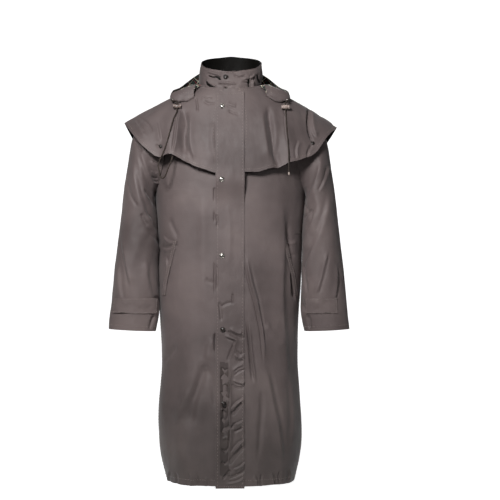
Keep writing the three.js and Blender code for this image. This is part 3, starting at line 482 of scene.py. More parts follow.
def make_finer(piece, table):
    bm = bmesh.new()
    bm.from_mesh(piece.data)
    centres = np.array([f.calc_center_median() for f in bm.faces])
    seen = as_seen(centres)
    near = np.zeros(len(seen), bool)
    for width, height, lean, *knots in table:
        if width < NARROW:
            line = smooth_line(knots)
            reach = width * 2 + 3
            some = close_to(line, seen, reach)
            near[some] |= np.abs(distance_to(line, seen[some])[0]) < reach
    near &= centres[:, 1] < 0
    bm.faces.ensure_lookup_table()
    edges = {e for k in np.flatnonzero(near) for e in bm.faces[k].edges}
    edges = sorted(edges, key=lambda e: e.index)
    bmesh.ops.subdivide_edges(bm, edges=edges, cuts=1, use_grid_fill=True)
    bm.to_mesh(piece.data)
    bm.free()
    print(piece.name, "finer at its creases,", len(piece.data.polygons), "faces")


def press(piece, table, behind=False):
    mesh = piece.data
    points = np.empty(len(mesh.vertices) * 3)
    normals = np.empty(len(mesh.vertices) * 3)
    mesh.vertices.foreach_get("co", points)
    mesh.vertices.foreach_get("normal", normals)
    points, normals = points.reshape(-1, 3), normals.reshape(-1, 3)
    facing = np.clip((normals[:, 1] if behind else -normals[:, 1]) * 2.5 + 0.1, 0, 1)
    seen = as_seen(points, behind)
    lift = np.zeros(len(points))
    for width, height, lean, *knots in table:
        line = smooth_line(knots)
        some = close_to(line, seen, width * 4)
        across, along = distance_to(line, seen[some])
        fade = np.clip(np.minimum(along, 1 - along) / FADE_SHARE, 0, 1)
        fade = fade * fade * (3 - 2 * fade)
        if lean:
            steep = across * lean / width
            shape = np.where(steep < 0, np.exp(-(np.abs(steep) / 1.9) ** 1.5), np.exp(-((steep / 0.62) ** 2)))
            shape -= 0.4 * np.exp(-(((steep - 1.5) / 0.7) ** 2))
        else:
            shape = np.exp(-(across / width) ** 2)
        lift[some] += height * DEPTH * fade * shape
    points += normals * (lift * facing / 1000)[:, None]
    mesh.vertices.foreach_set("co", points.ravel())
    mesh.update()


def crumple(piece, height, size, seed, stretch=1.0):
    mesh = piece.data
    for v, n in [(v, v.normal.copy()) for v in mesh.vertices]:
        spot = Vector((v.co.x / size, v.co.y / size, v.co.z / (size * stretch))) + Vector((seed, 0, seed * 2))
        v.co += n * (noise.fractal(spot, 0.9, 2.1, 3) * height)
    mesh.update()


CLOTH_THICK, FACING_THICK = 0.0012, 0.0006


def give_thickness(piece, wall=CLOTH_THICK, outside=shell_cloth, inside=lining_cloth):
    for finish in (outside, inside):
        piece.data.materials.append(finish)
    thick = piece.modifiers.new("thickness", "SOLIDIFY")
    thick.thickness = wall
    thick.offset = -1
    thick.material_offset = 1
    thick.material_offset_rim = 0
    bpy.ops.object.modifier_apply(modifier=thick.name)
    bpy.ops.object.shade_smooth_by_angle(angle=math.radians(50))


# %% [markdown]
# Each edge is turned in and topstitched. A row of stitches runs a set distance inside the
# edge: the edge of the open sheet is walked, each of its points is moved inwards, and the
# nearest spot on the cloth gets a stitch, which is a small arched bar along the row.

# %% Topstitching
STITCH_LONG, STITCH_STEP, STITCH_WIDE = 0.0034, 0.0052, 0.0009
sewn = {"seams": [], "tacks": []}


def edge_loops(bm):
    rim = [e for e in bm.edges if e.is_boundary]
    left = set(rim)
    for edge in rim:
        if edge not in left:
            continue
        left.discard(edge)
        loop = list(edge.verts)
        while True:
            step = next((e for e in loop[-1].link_edges if e in left), None)
            if not step:
                break
            left.discard(step)
            loop.append(step.other_vert(loop[-1]))
        yield loop


def sew_edges(piece, inset, wanted=lambda spot: True):
    bm = bmesh.new()
    bm.from_mesh(piece.data)
    tree = BVHTree.FromBMesh(bm)
    for loop in edge_loops(bm):
        row = []
        for before, here, after in zip(loop, loop[1:], loop[2:]):
            along = (after.co - before.co).normalized()
            inwards = sum((f.calc_center_median() - here.co for f in here.link_faces), Vector((0, 0, 0)))
            inwards -= along * inwards.dot(along)
            row.append(here.co + inwards.normalized() * inset)
        walked = 0.0
        for a, b in zip(row, row[1:]):
            walked += (b - a).length
            if walked > STITCH_STEP and wanted(a):
                spot, normal = tree.find_nearest(a)[:2]
                sewn["seams"].append((spot, normal, (b - a).normalized()))
                walked = 0.0
    bm.free()


def thread_mesh(name, stitches, finish):
    bm = bmesh.new()
    for spot, normal, along in stitches:
        side = along.cross(normal).normalized()
        rings = []
        for share, rise, wide in ((-0.5, -0.0002, 0.6), (0, 0.0006, 1), (0.5, -0.0002, 0.6)):
            centre = spot + along * (share * STITCH_LONG) + normal * rise
            half = STITCH_WIDE / 2 * wide
            rings.append([bm.verts.new(centre + side * (x * half) + normal * (y * half))
                          for x, y in ((1, 0), (0, 1), (-1, 0), (0, -1))])
        for low, high in zip(rings, rings[1:]):
            for k in range(4):
                bm.faces.new((low[k], low[(k + 1) % 4], high[(k + 1) % 4], high[k]))
        bm.faces.new(rings[0][::-1])
        bm.faces.new(rings[-1])
    bmesh.ops.recalc_face_normals(bm, faces=bm.faces)
    mesh = bpy.data.meshes.new(name)
    bm.to_mesh(mesh)
    bm.free()
    mesh.materials.append(finish)
    thread = bpy.data.objects.new(name, mesh)
    bpy.context.scene.collection.objects.link(thread)
    dress(thread, "coat_cloth")
    print(name, len(stitches), "stitches")


def dress(piece, slot, *nodes):
    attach(piece, "root")
    if nodes:
        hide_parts(*nodes)


def crease(piece, table, back_table, bumps):
    make_finer(piece, table)
    press(piece, table)
    press(piece, back_table, behind=True)
    crumple(piece, *bumps)


# %% [markdown]
# The body: two fronts and a back, sewn at the sides and shoulders. The fronts show sharp
# ridges that fall from the right of the strip, a soft bulge on the left skirt, and pulls at
# the pockets. The back is not in the picture; it gets folds of the same kind, which fall from
# the shoulder blades and open towards the hem.

# %% Fronts and back
FRONT_CREASES = [
    (3.2, 4.5, 0, (51, -492), (56, -528), (66, -576), (80, -627), (88, -669), (96, -708), (101, -759),
     (104, -804)),
    (2.8, -3, 0, (47, -510), (51, -549), (62, -594), (74, -636), (83, -678), (91, -720), (96, -774),
     (99, -816)),
    (3, -2.2, 0, (61, -510), (72, -564), (86, -618), (95, -666), (103, -714), (107, -762)),
    (3.4, -5.6, 0, (50, -684), (54, -726), (58, -768), (62, -807), (66, -843), (70, -876)),
    (3.2, 3.2, 0, (56, -690), (61, -732), (65, -774), (69, -810), (74, -846), (78, -876)),
    (6, 3.4, 1, (108, -693), (123, -717), (150, -744), (165, -762)),
    (9, 4.6, 1, (102, -822), (117, -876), (128, -930), (143, -996), (153, -1068), (156, -1134)),
    (8, -3.4, 0, (93, -888), (96, -954), (90, -1032), (84, -1110)),
    (7, 2.6, -1, (174, -840), (186, -909), (189, -999), (183, -1089)),
    (4.6, -9, 0, (188, -534), (190, -576), (194, -624)),
    (13, 4.2, 1, (153, -318), (159, -432), (156, -594), (162, -759), (174, -924)),
    (7, -3.6, 0, (171, -390), (178, -444), (183, -510)),
    (14, -8, 0, (-70, -810), (-87, -858), (-111, -933), (-129, -1020)),
    (9, -3.4, 0, (-66, -822), (-51, -879), (-42, -960)),
    (24, 6, 0, (-144, -909), (-153, -1014), (-138, -1146)),
    (7, -4.4, 0, (-159, -759), (-177, -780), (-201, -810)),
    (9, 4, 1, (-120, -888), (-138, -936), (-153, -996)),
    (16, 3.2, 0, (-78, -288), (-81, -474), (-75, -690)),
    (5, -2.4, 0, (-75, -561), (-60, -570), (-42, -573)),
    (6, -3.4, 0, (-183, -381), (-171, -408), (-153, -441)),
    (3.4, -3, 0, (-207, -462), (-186, -466), (-156, -450)),
    (3, 2.6, 0, (-204, -472), (-180, -474), (-156, -460)),
    (3.2, 2.4, 1, (-201, -432), (-186, -447), (-165, -453)),
    (4, 2.6, 1, (-192, -492), (-189, -534), (-201, -588)),
    (3.2, 2.6, 1, (162, -447), (180, -453), (201, -447)),
    (3.2, -2.6, 0, (162, -480), (180, -489), (198, -489)),
    (3, 2.4, 1, (-180, -1134), (-186, -1158), (-183, -1179)),
    (3, -2.6, 0, (-162, -1140), (-159, -1161), (-162, -1182)),
    (3, 2.6, -1, (-123, -1146), (-117, -1164), (-120, -1185)),
    (3, -2.8, 0, (-102, -1143), (-96, -1164), (-99, -1185)),
    (3, 2.4, 1, (-69, -1155), (-72, -1173), (-69, -1191)),
    (3, 2.8, 1, (72, -1152), (81, -1167), (78, -1185)), (3, -2.8, 0, (96, -1146), (93, -1167), (99, -1185)),
    (3.4, 3, 1, (123, -1143), (132, -1161), (126, -1182)),
    (3, -3, 0, (150, -1137), (147, -1158), (153, -1179)),
    (3, 2.6, -1, (177, -1128), (180, -1149), (174, -1170)),
    (12, 3.2, -1, (-51, -744), (-63, -768), (-69, -810)), (3, -7, 0, (-45, -723), (-46, -750), (-43, -783)),
    (2.4, -3.6, 0, (-47, -285), (-47, -306), (-47, -330)),
    (2.4, -3.6, 0, (-47, -357), (-47, -372), (-47, -390)),
    (2.4, -3.4, 0, (-46, -504), (-47, -558), (-46, -612)),
]
BACK_CREASES = [
    (14, 4.5, 1, (-130, -330), (-118, -520), (-124, -760)),
    (10, 4.0, -1, (-52, -420), (-60, -640), (-56, -900)),
    (12, 4.5, 1, (34, -380), (48, -620), (44, -960)),
    (12, -4.0, 0, (112, -460), (104, -700), (116, -1140)),
    (16, 5.0, -1, (150, -640), (158, -860), (152, -1150)),
    (12, 4.0, 1, (-160, -700), (-152, -900), (-160, -1150)),
    (5, 3.0, 1, (-60, -960), (-74, -1050), (-70, -1150)),
    (5, 3.0, -1, (196, -330), (150, -372), (118, -440)),
    (5, 3.0, 1, (-196, -330), (-158, -380), (-120, -430)),
]
body = {}
for name, flat, area in (("front_right", (0.31, 1.21), 0.33), ("front_left", (0.31, 1.21), 0.33),
                         ("back", (0.61, 1.22), 0.63)):
    piece = take_sheet(name)
    map_flat(piece)
    refine(piece)
    crease(piece, FRONT_CREASES, BACK_CREASES, (0.0016, 0.07, 3.1, 1.8))
    sew_edges(piece, 0.018, lambda spot: spot.z < -1.1)
    sew_edges(piece, 0.005, lambda spot: abs(spot.x) > 0.12 and -1.1 < spot.z < -0.3)
    give_thickness(piece)
    dress(piece, "coat_cloth", name)
    body[name] = piece

# %% [markdown]
# Each sleeve is one tube, set into the armhole. The elbow hangs slightly bent, so drag folds
# run from the armpit out and down, and short breaks sit at the bend.

# %% Sleeves
SLEEVE_CREASES = [
    (3.6, -4.4, 0, (-286, -144), (-276, -162), (-261, -183)),
    (7, 4.4, 1, (-291, -198), (-282, -270), (-258, -360), (-231, -432), (-216, -498)),
    (6, 3.6, -1, (-270, -174), (-249, -240), (-222, -312)),
    (4, -3.6, 0, (-258, -288), (-240, -318), (-219, -363)),
    (3, -4, 0, (-267, -363), (-261, -381), (-250, -405)),
    (5, 3.6, 1, (-249, -366), (-237, -402), (-219, -438)),
    (6, 4.2, 1, (-267, -402), (-243, -438), (-222, -471), (-213, -510)),
    (9, 3.6, 1, (-255, -504), (-249, -567), (-234, -624)),
    (8, -9.5, 0, (-213, -612), (-225, -639), (-246, -666)),
    (5, -4.4, 0, (-225, -669), (-234, -690), (-240, -714)),
    (5, 3, -1, (-324, -438), (-312, -510), (-297, -588)),
    (4, -3, 0, (-309, -264), (-297, -312), (-273, -348)),
    (6, 2.6, 1, (-336, -504), (-333, -579), (-324, -636)),
    (3, 2.4, 1, (-237, -204), (-228, -216), (-216, -219)),
    (3, 2.4, 1, (-240, -234), (-228, -243), (-216, -243)),
    (3, 2.4, 1, (-237, -267), (-225, -273), (-213, -270)),
    (3, -2.6, 0, (-240, -252), (-228, -258), (-216, -258)),
    (7, 4.4, -1, (276, -192), (255, -276), (231, -354)),
    (7, 4, -1, (306, -288), (279, -396), (246, -486), (225, -564)),
    (5, 4.4, -1, (261, -342), (249, -396), (231, -444), (219, -486)),
    (3, -3.6, 0, (225, -381), (234, -366), (249, -351)),
    (4, -3.4, 0, (216, -312), (228, -333), (237, -366)), (5, 3.2, 1, (294, -474), (276, -552), (258, -612)),
    (4, -3.2, 0, (222, -510), (225, -558), (232, -606)),
    (8, -9.5, 0, (204, -618), (213, -645), (231, -666)),
    (5, -4.4, 0, (232, -669), (237, -690), (239, -714)), (5, 2.8, 1, (318, -510), (321, -576), (312, -630)),
    (4, 3, -1, (297, -219), (285, -264), (267, -303)),
]
SLEEVE_BACK_CREASES = [
    (7, 4.0, 1, (side * 250, -210), (side * 284, -330), (side * 318, -420)) for side in (-1, 1)
] + [
    (6, 3.5, -1, (side * 240, -330), (side * 270, -440), (side * 320, -500)) for side in (-1, 1)
] + [
    (5, 3.5, 1, (side * 236, -450), (side * 280, -520), (side * 326, -560)) for side in (-1, 1)
]


SLEEVE_RADIUS = 0.075
ARMPIT_SHIFT, ARMPIT_MIDDLE, ARMPIT_REACH = 0.0042, -0.40, 0.17


def close_armpit(piece, side):
    for v in piece.data.vertices:
        window = max(0.0, 1 - ((v.co.z - ARMPIT_MIDDLE) / ARMPIT_REACH) ** 2)
        near = min(1.0, max(0.0, (0.262 - abs(v.co.x)) / 0.03))
        v.co.x -= side * ARMPIT_SHIFT * window * near


for name, side in (("sleeve_right", -1), ("sleeve_left", 1)):
    middle = (side * 0.285, -0.03)
    piece = take_sheet(name, inside=middle)
    map_round(piece, middle, SLEEVE_RADIUS)
    refine(piece)
    crease(piece, SLEEVE_CREASES, SLEEVE_BACK_CREASES, (0.0016, 0.06, 5.7, 1.5))
    close_armpit(piece, side)
    sew_edges(piece, 0.014, lambda spot: spot.z < -0.6)
    sew_edges(piece, 0.005, lambda spot: spot.z > -0.4)
    give_thickness(piece)
    dress(piece, "coat_cloth", name)
    body[name] = piece

# %% [markdown]
# The shoulder cape is three pieces, two fronts and a back. It is held at the neck and stands
# off the sleeves, so it falls in flutes. The left picture side has one deep dark flute, the
# right one a sharp crease down to its stud.

# %% Cape
CAPE_CREASES = [
    (9, -9.5, 0, (-138, -48), (-136, -96), (-140, -144), (-132, -198)),
    (4, 4.6, -1, (-147, -36), (-156, -90), (-163, -144), (-171, -186)),
    (7, 4.4, -1, (-120, -60), (-119, -114), (-117, -162), (-102, -210)),
    (5, 2.6, 1, (-222, -90), (-215, -120), (-210, -153)),
    (3, -2.8, 0, (-225, -156), (-213, -165), (-201, -162)),
    (3, -3.6, 0, (-104, -15), (-99, -36), (-97, -60)), (3.4, 3.2, 1, (30, -65), (9, -56), (-15, -45)),
    (3, -3, 0, (-9, -57), (9, -66), (27, -74)),
    (8, -7.5, 0, (114, -33), (120, -81), (128, -132), (135, -180), (144, -228)),
    (9, 3.6, 1, (96, -48), (102, -102), (110, -156), (117, -210)),
    (3.8, -8.4, 0, (238, -45), (234, -81), (237, -117), (249, -156)),
    (5.5, 4.4, -1, (247, -48), (246, -84), (252, -114), (264, -138)),
    (4, -3.4, 0, (248, -156), (237, -174), (232, -198)), (4, 2.6, 1, (276, -69), (291, -84), (312, -99)),
    (5, 2.4, 1, (-288, -84), (-273, -108), (-249, -138)),
    (4, -2.4, 0, (-273, -75), (-246, -96), (-231, -123)), (9, 2.4, 0, (-48, -84), (-54, -144), (-42, -216)),
    (4, 2.2, -1, (168, -60), (171, -108), (177, -156)), (3, -2.4, 0, (159, -33), (162, -54), (168, -72)),
    (4, 2.6, -1, (210, -144), (201, -174), (204, -204)), (3.4, 2.4, 1, (-87, -15), (-69, -21), (-51, -18)),
    (3, -2.6, 0, (-81, -27), (-63, -34), (-42, -33)),
]
CAPE_BACK_CREASES = [
    (12, 5.0, 1, (-150, -70), (-168, -140), (-176, -240)),
    (10, -4.5, 0, (-90, -110), (-104, -180), (-110, -270)),
    (12, 5.0, -1, (130, -80), (142, -150), (150, -240)),
    (9, -4.0, 0, (60, -160), (66, -210), (64, -280)),
    (8, 3.5, 1, (-28, -180), (-34, -230), (-30, -285)),
    (7, 3.5, -1, (232, -70), (250, -110), (262, -160)),
    (7, 3.5, 1, (-232, -70), (-246, -110), (-258, -160)),
]
for name, flat, area in (("cape_right", (0.40, 0.28), 0.07), ("cape_left", (0.40, 0.28), 0.07),
                         ("cape_back", (0.80, 0.34), 0.176)):
    piece = take_sheet(name)
    map_flat(piece)
    refine(piece)
    crease(piece, CAPE_CREASES, CAPE_BACK_CREASES, (0.0012, 0.05, 8.3, 1.3))
    sew_edges(piece, 0.008)
    give_thickness(piece)
    dress(piece, "coat_cloth", name)

# %% [markdown]
# The stand collar is stiffened, but worn soft: it buckles in short broken creases under its
# stud, and one deep pucker pulls at its foot on the right.

# %% Collar and its lining
COLLAR_CREASES = [
    (2.6, -3.4, 0, (-72, 52), (-54, 46), (-39, 45), (-24, 34)), (3, 3, 1, (-24, 44), (-45, 54), (-69, 60)),
    (3, -3.6, 0, (-78, 36), (-63, 18), (-45, 6), (-27, -2)), (3, 3.2, -1, (-72, 39), (-57, 24), (-36, 12)),
    (2.6, -2.8, 0, (-45, 22), (-40, 9), (-41, -6)), (3.4, 3.2, 0, (-39, 26), (-12, 27), (24, 24)),
    (2.8, -3.6, 0, (-24, 18), (-6, 8), (6, 3), (24, 7)), (2.6, -3, 0, (9, 52), (30, 46), (51, 52)),
    (3, -3.2, 0, (33, 33), (51, 28), (63, 33), (78, 48)), (3, 3, 1, (78, 57), (60, 42), (39, 39)),
    (2.8, -5, 0, (63, 55), (58, 36), (59, 12), (68, -15)),
    (3, 4.2, 1, (72, 54), (68, 33), (69, 12), (77, -9)), (2.6, -4.2, 0, (83, 57), (85, 39), (94, 24)),
    (3, -4.6, 0, (96, 12), (83, 0), (66, -15)), (2.6, -3.2, 0, (-76, 7), (-66, 0), (-52, -7)),
    (2.6, 2.4, 0, (30, 12), (42, 0), (51, -12)), (2.6, -2.4, 0, (-6, -8), (12, -13), (33, -9)),
    (3, 2.4, 1, (24, 62), (0, 63), (-24, 67)),
]
collar = take_sheet("collar")
map_flat(collar)
refine(collar)
crease(collar, COLLAR_CREASES, (), (0.0017, 0.024, 2.2))
sew_edges(collar, 0.005)
give_thickness(collar)
dress(collar, "coat_cloth", "collar")

collar_lining = take_sheet("collar_lining", FACING_WALL, by_size=-1)
map_flat(collar_lining)
refine(collar_lining, 2)
crumple(collar_lining, 0.0008, 0.03, 4.4)
give_thickness(collar_lining, FACING_THICK, lining_cloth)
dress(collar_lining, "collar_lining", "collar_lining")

# %% [markdown]
# The hood lies folded down on the cape, its mouth open upwards behind the collar, with the
# check inside. A sewn band runs along its edge and carries the drawcord.

# %% Hood and its check lining
HOOD_CREASES = [
    (3.4, 3.2, 1, (-96, -6), (-120, -22), (-141, -24)), (3, -0.8, 0, (-153, -12), (-132, -9), (-102, 0)),
    (3, 2.6, -1, (-162, -21), (-144, -33), (-114, -27)), (3.4, 3.2, -1, (111, -9), (135, -24), (165, -29)),
    (3, -0.8, 0, (108, 1), (129, -12), (162, -20)), (3, 2.6, 1, (150, -36), (129, -30), (111, -21)),
]
HOOD_BACK_CREASES = [
    (9, 4.0, 1, (-120, 10), (-70, -60), (-40, -130)),
    (8, -1.2, 0, (110, 0), (74, -60), (30, -140)),
    (7, 3.5, -1, (0, 50), (-8, -40), (-2, -140)),
    (7, 3.5, 1, (60, 40), (44, -40), (20, -110)),
]
LINING_GAP = 0.0028
hood = take_sheet("hood", by_size=1)
map_flat(hood)
refine(hood, 2)
crease(hood, HOOD_CREASES, HOOD_BACK_CREASES, (0.0011, 0.04, 6.6))
sew_edges(hood, 0.016)
give_thickness(hood, inside=check_cloth)
dress(hood, "coat_cloth", "hood")

hood_lining = take_sheet("hood_lining", FACING_WALL, by_size=-1)
map_flat(hood_lining)
refine(hood_lining, 2)
for v, n in [(v, v.normal.copy()) for v in hood_lining.data.vertices]:
    v.co += n * LINING_GAP
give_thickness(hood_lining, FACING_THICK, check_cloth, check_cloth)
dress(hood_lining, "check_lining", "hood_lining")

# %% [markdown]
# The front strip covers the zip. Its left edge is free and its right edge is sewn down. Below
# the third stud it has gone wavy: the sewing has drawn it in, so it puckers slantwise all the
# way to the hem, and beside the puckers its rippled edge is painted darker, as shade.

# %% Front strip
STRIP_CREASES = [
    (2.6, -3.2, 0, (9, -603), (8, -621), (9, -639)), (4, -2.2, 0, (9, -630), (-12, -636), (-36, -651)),
    (4, -3.4, 0, (-33, -627), (-28, -657), (-26, -690)),
    (3, -4.2, 0, (-12, -717), (6, -726), (27, -737), (48, -736)),
    (3.4, 3.4, 1, (39, -726), (21, -723), (-3, -710)),
    (3.4, 3.6, -1, (-18, -729), (0, -738), (18, -747), (9, -771), (-6, -804)),
    (3, -3.8, 0, (12, -759), (3, -783), (-9, -807)), (2.4, -2.8, 0, (18, -774), (30, -786), (45, -779)),
    (2.4, 2.6, 0, (12, -785), (27, -798), (42, -792)), (2.4, -2.6, 0, (15, -798), (27, -808), (42, -804)),
    (3, 4.8, -1, (-4, -804), (0, -840), (-2, -882), (2, -924), (-2, -972), (2, -1020), (-1, -1074),
     (-5, -1152)),
    (8, -4, 0, (-16, -816), (-18, -876), (-16, -936), (-18, -996), (-16, -1062)),
    (2.6, -4.4, 0, (-27, -825), (-16, -837), (-6, -830)),
    (2.8, -5.4, 0, (-29, -861), (-16, -853), (-2, -870)), (2.6, 3, 0, (-24, -882), (-12, -874), (-4, -882)),
    (2.6, -4.6, 0, (-28, -897), (-19, -908), (-7, -897)),
    (2.8, -4.8, 0, (-24, -925), (-11, -918), (-2, -927)),
    (2.6, 3, 0, (-28, -957), (-20, -950), (-10, -960)),
    (2.6, -4.4, 0, (-27, -978), (-15, -989), (-3, -972)),
    (2.8, -4.4, 0, (-27, -1023), (-13, -1011), (3, -999)),
    (2.6, 2.8, 0, (-24, -1044), (-12, -1036), (-3, -1041)),
    (2.6, -4, 0, (-27, -1068), (-15, -1079), (-4, -1066)),
    (2.6, -3.8, 0, (-25, -1107), (-16, -1116), (-5, -1107)), (3, -4, 0, (2, -876), (21, -887), (48, -886)),
    (3.2, 3.2, 1, (48, -876), (27, -873), (6, -864)), (4, -5.8, 0, (39, -930), (21, -951), (2, -972)),
    (4.2, 4.2, -1, (42, -921), (21, -936), (3, -954)), (3.6, -5.2, 0, (21, -993), (0, -1008), (-27, -1020)),
    (3, -4.2, 0, (39, -1005), (24, -1014), (9, -1020)), (3.2, 3.4, -1, (42, -987), (24, -996), (6, -1002)),
    (4.6, -7, 0, (42, -1062), (21, -1086), (-8, -1122)),
    (4.6, 4.6, -1, (45, -1044), (24, -1062), (3, -1089)), (3, -4, 0, (3, -1134), (-9, -1146), (-23, -1164)),
    (3, -4.2, 0, (51, -1131), (27, -1146), (-6, -1160)),
    (3.2, 3.6, -1, (48, -1110), (30, -1125), (9, -1134)),
    (3, 3.2, -1, (42, -1158), (21, -1170), (-12, -1176)), (2.8, 2.6, 1, (42, -819), (24, -825), (6, -840)),
    (2.8, -2.6, 0, (45, -831), (27, -839), (9, -852)), (3.4, 2.6, 1, (18, -45), (6, -41), (-12, -33)),
    (3, -2.6, 0, (-6, -54), (9, -62), (30, -68)), (8, 1.5, 0, (-6, -324), (0, -420), (-4, -522)),
    (3, -2.4, 0, (-40, -513), (-38, -552), (-40, -600)),
    (3, -2.6, 0, (-42, -366), (-37, -387), (-40, -408)),
]
strip = take_sheet("placket")
map_flat(strip)
refine(strip)
crease(strip, STRIP_CREASES, (), (0.0008, 0.03, 1.2, 1.5))
sew_edges(strip, 0.006)
give_thickness(strip)
# Painted shade: faces on the lower part of the strip's rippled free edge get the darker cloth.
strip.data.materials.append(shaded_cloth)
for face in strip.data.polygons:
    u, v = as_seen(np.array([face.center]))[0]
    if face.material_index == 0 and -31 < u < -3 + 3 * math.sin(v / 21) and -1152 < v < -812:
        face.material_index = 2
dress(strip, "coat_cloth", "placket")

# %% [markdown]
# Pocket welts and cuff tabs are narrow folded strips, sewn flat on the front and round the
# cuffs. They are pressed harder than the rest, so they only crumple a little.

# %% Pocket welts and cuff tabs
for name, flat in (("pocket_right", (0.0147, 0.168)), ("pocket_left", (0.0149, 0.168)),
                   ("cuff_tab_right", (0.145, 0.046)), ("cuff_tab_left", (0.1, 0.046))):
    piece = take_sheet(name)
    map_flat(piece)
    refine(piece)
    crumple(piece, 0.0006, 0.025, 9.1)
    sew_edges(piece, 0.003)
    give_thickness(piece)
    dress(piece, "coat_cloth", name)
    body[name] = piece

# %% [markdown]
# Short bars of close stitches lock the ends of both pocket mouths. They are placed where the
# camera sees them: a ray through each place finds the cloth.

# %% Bar tacks and the thread itself
TACKS = [(-162, -459, 12), (204, -426, 16), (182, -495, 13), (-190, -466, 8), (-320, -662, 20),
         (294, -662, 20)]
TACK_STEP = 1.2
solid = bmesh.new()
for name in ("front_right", "front_left", "sleeve_right", "sleeve_left", "pocket_right", "pocket_left",
             "cuff_tab_right", "cuff_tab_left"):
    solid.from_mesh(body[name].data)
cloth_tree = BVHTree.FromBMesh(solid)
solid.free()
eye = Vector((0, EYE_Y, EYE_Z))
for u, v, reach in TACKS:
    for k in range(int(reach / TACK_STEP)):
        aim = Vector(((u - reach / 2 + k * TACK_STEP) / 1000, 0, v / 1000))
        spot, normal = cloth_tree.ray_cast(eye, aim - eye)[:2]
        sewn["tacks"].append((spot, normal, Vector((0.15, 0, 1)).normalized()))
dark_thread = moulded("dark sewing thread", "#1D1715", "#2E2622", 0.7)
thread_mesh("seam_stitches", sewn["seams"], sewing_thread)
thread_mesh("bar_tacks", sewn["tacks"], dark_thread)

# %% [markdown]
# Studs, eyelets and toggles are turned pieces. Each starts as a single point, is extruded along
# half a section and spun round. A stud has a domed cap, a groove painted dark as its shade, and a
# rolled rim. One of each kind is made, then copied to every place where the imported model has
# one, turned to its axis and scaled to its radius.

# %% Turned hardware
STUD = [(0.0, 2.9), (1.6, 2.82), (3.1, 2.5), (4.4, 1.9), (5.2, 1.2), (5.5, 0.7), (5.6, 0.25), (6.1, 0.2),
        (6.4, 0.6), (6.9, 0.85), (7.35, 0.6), (7.5, 0.1), (7.4, -0.7)]
STUD_GROOVE = (5.45, 6.2)
EYELET = [(3.0, -0.8), (3.0, 0.3), (3.3, 0.9), (4.1, 1.15), (4.9, 0.9), (5.4, 0.2), (5.4, -0.5)]
TOGGLE = [(1.9, -8.7), (3.4, -9.0), (4.6, -8.5), (5.0, -7.4), (4.8, -6.3), (4.2, -5.8), (4.1, -5.0),
          (4.7, -4.2), (5.0, -2.6), (5.0, 2.6), (4.7, 4.2), (4.1, 5.0), (4.2, 5.8), (4.8, 6.3), (5.0, 7.4),
          (4.6, 8.5), (3.4, 9.0), (1.9, 8.7), (1.7, 6.0), (1.7, -6.0), (1.9, -8.7)]
TIP = [(0.0, -4.6), (1.4, -4.4), (2.3, -3.6), (2.6, -2.2), (2.5, 1.5), (2.7, 3.0), (2.2, 3.6)]
TOGGLE_LENGTH = 0.018
SPIN_STEPS = 40


def turned(name, section, finishes, groove=None):
    start, *rest = [(r / 1000, 0, z / 1000) for r, z in section]
    bpy.ops.object.select_all(action="DESELECT")
    bpy.ops.mesh.primitive_circle_add(vertices=3, radius=0.001)
    piece = bpy.context.object
    piece.name = piece.data.name = name
    bpy.ops.object.mode_set(mode="EDIT")
    bpy.ops.mesh.select_all(action="SELECT")
    bpy.ops.mesh.merge(type="CENTER")
    bpy.ops.transform.translate(value=start)
    for before, here in zip([start, *rest], rest):
        step = Vector(here) - Vector(before)
        bpy.ops.mesh.extrude_vertices_move(TRANSFORM_OT_translate={"value": step})
    bpy.ops.mesh.select_all(action="SELECT")
    bpy.ops.mesh.spin(steps=SPIN_STEPS, angle=FULL_TURN, center=(0, 0, 0), axis=(0, 0, 1))
    bpy.ops.mesh.select_all(action="SELECT")
    bpy.ops.mesh.remove_doubles(threshold=1e-6)
    bpy.ops.mesh.normals_make_consistent(inside=False)
    bpy.ops.object.mode_set(mode="OBJECT")
    bpy.ops.object.shade_smooth_by_angle(angle=math.radians(40))
    for finish in finishes:
        piece.data.materials.append(finish)
    # Painted shade: faces in the stud's groove get the dark finish.
    if groove:
        for face in piece.data.polygons:
            if groove[0] < math.hypot(*face.center.xy) * 1000 < groove[1]:
                face.material_index = 1
    return piece


def axis_of(node, thin):
    points = np.array([v.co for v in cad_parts[node].data.vertices])
    points = np.unique(points.round(6), axis=0)
    centre = (points.max(0) + points.min(0)) / 2
    spread, ways = np.linalg.eigh(np.cov((points - points.mean(0)).T))
    axis = ways[:, 0 if thin else 2]
    if axis @ np.array([centre[0], centre[1], 0]) < 0:
        axis = -axis
    along = (points - centre) @ axis
    radius = np.linalg.norm((points - centre) - np.outer(along, axis), axis=1).max()
    return Vector(centre), Vector(axis), float(along.max() - along.min()), float(radius)


def place_copy(pattern, node, slot, thin, radius, sink, finishes=None):
    centre, axis, length, reach = axis_of(node, thin)
    turn = Vector((0, 0, 1)).rotation_difference(axis).to_matrix().to_4x4()
    across = reach / radius
    deep = across if thin else length / TOGGLE_LENGTH
    mesh = pattern.data.copy()
    mesh.transform(Matrix.Translation(centre - axis * sink) @ turn
                   @ Matrix.Diagonal((across, across, deep, 1)))
    piece = bpy.data.objects.new(f"{node}_detail", mesh)
    bpy.context.scene.collection.objects.link(piece)
    for k, finish in enumerate(finishes or ()):
        mesh.materials[k] = finish
    dress(piece, slot, node)
    print(piece.name, "at", [round(v * 1000) for v in centre], "mm")
    return piece


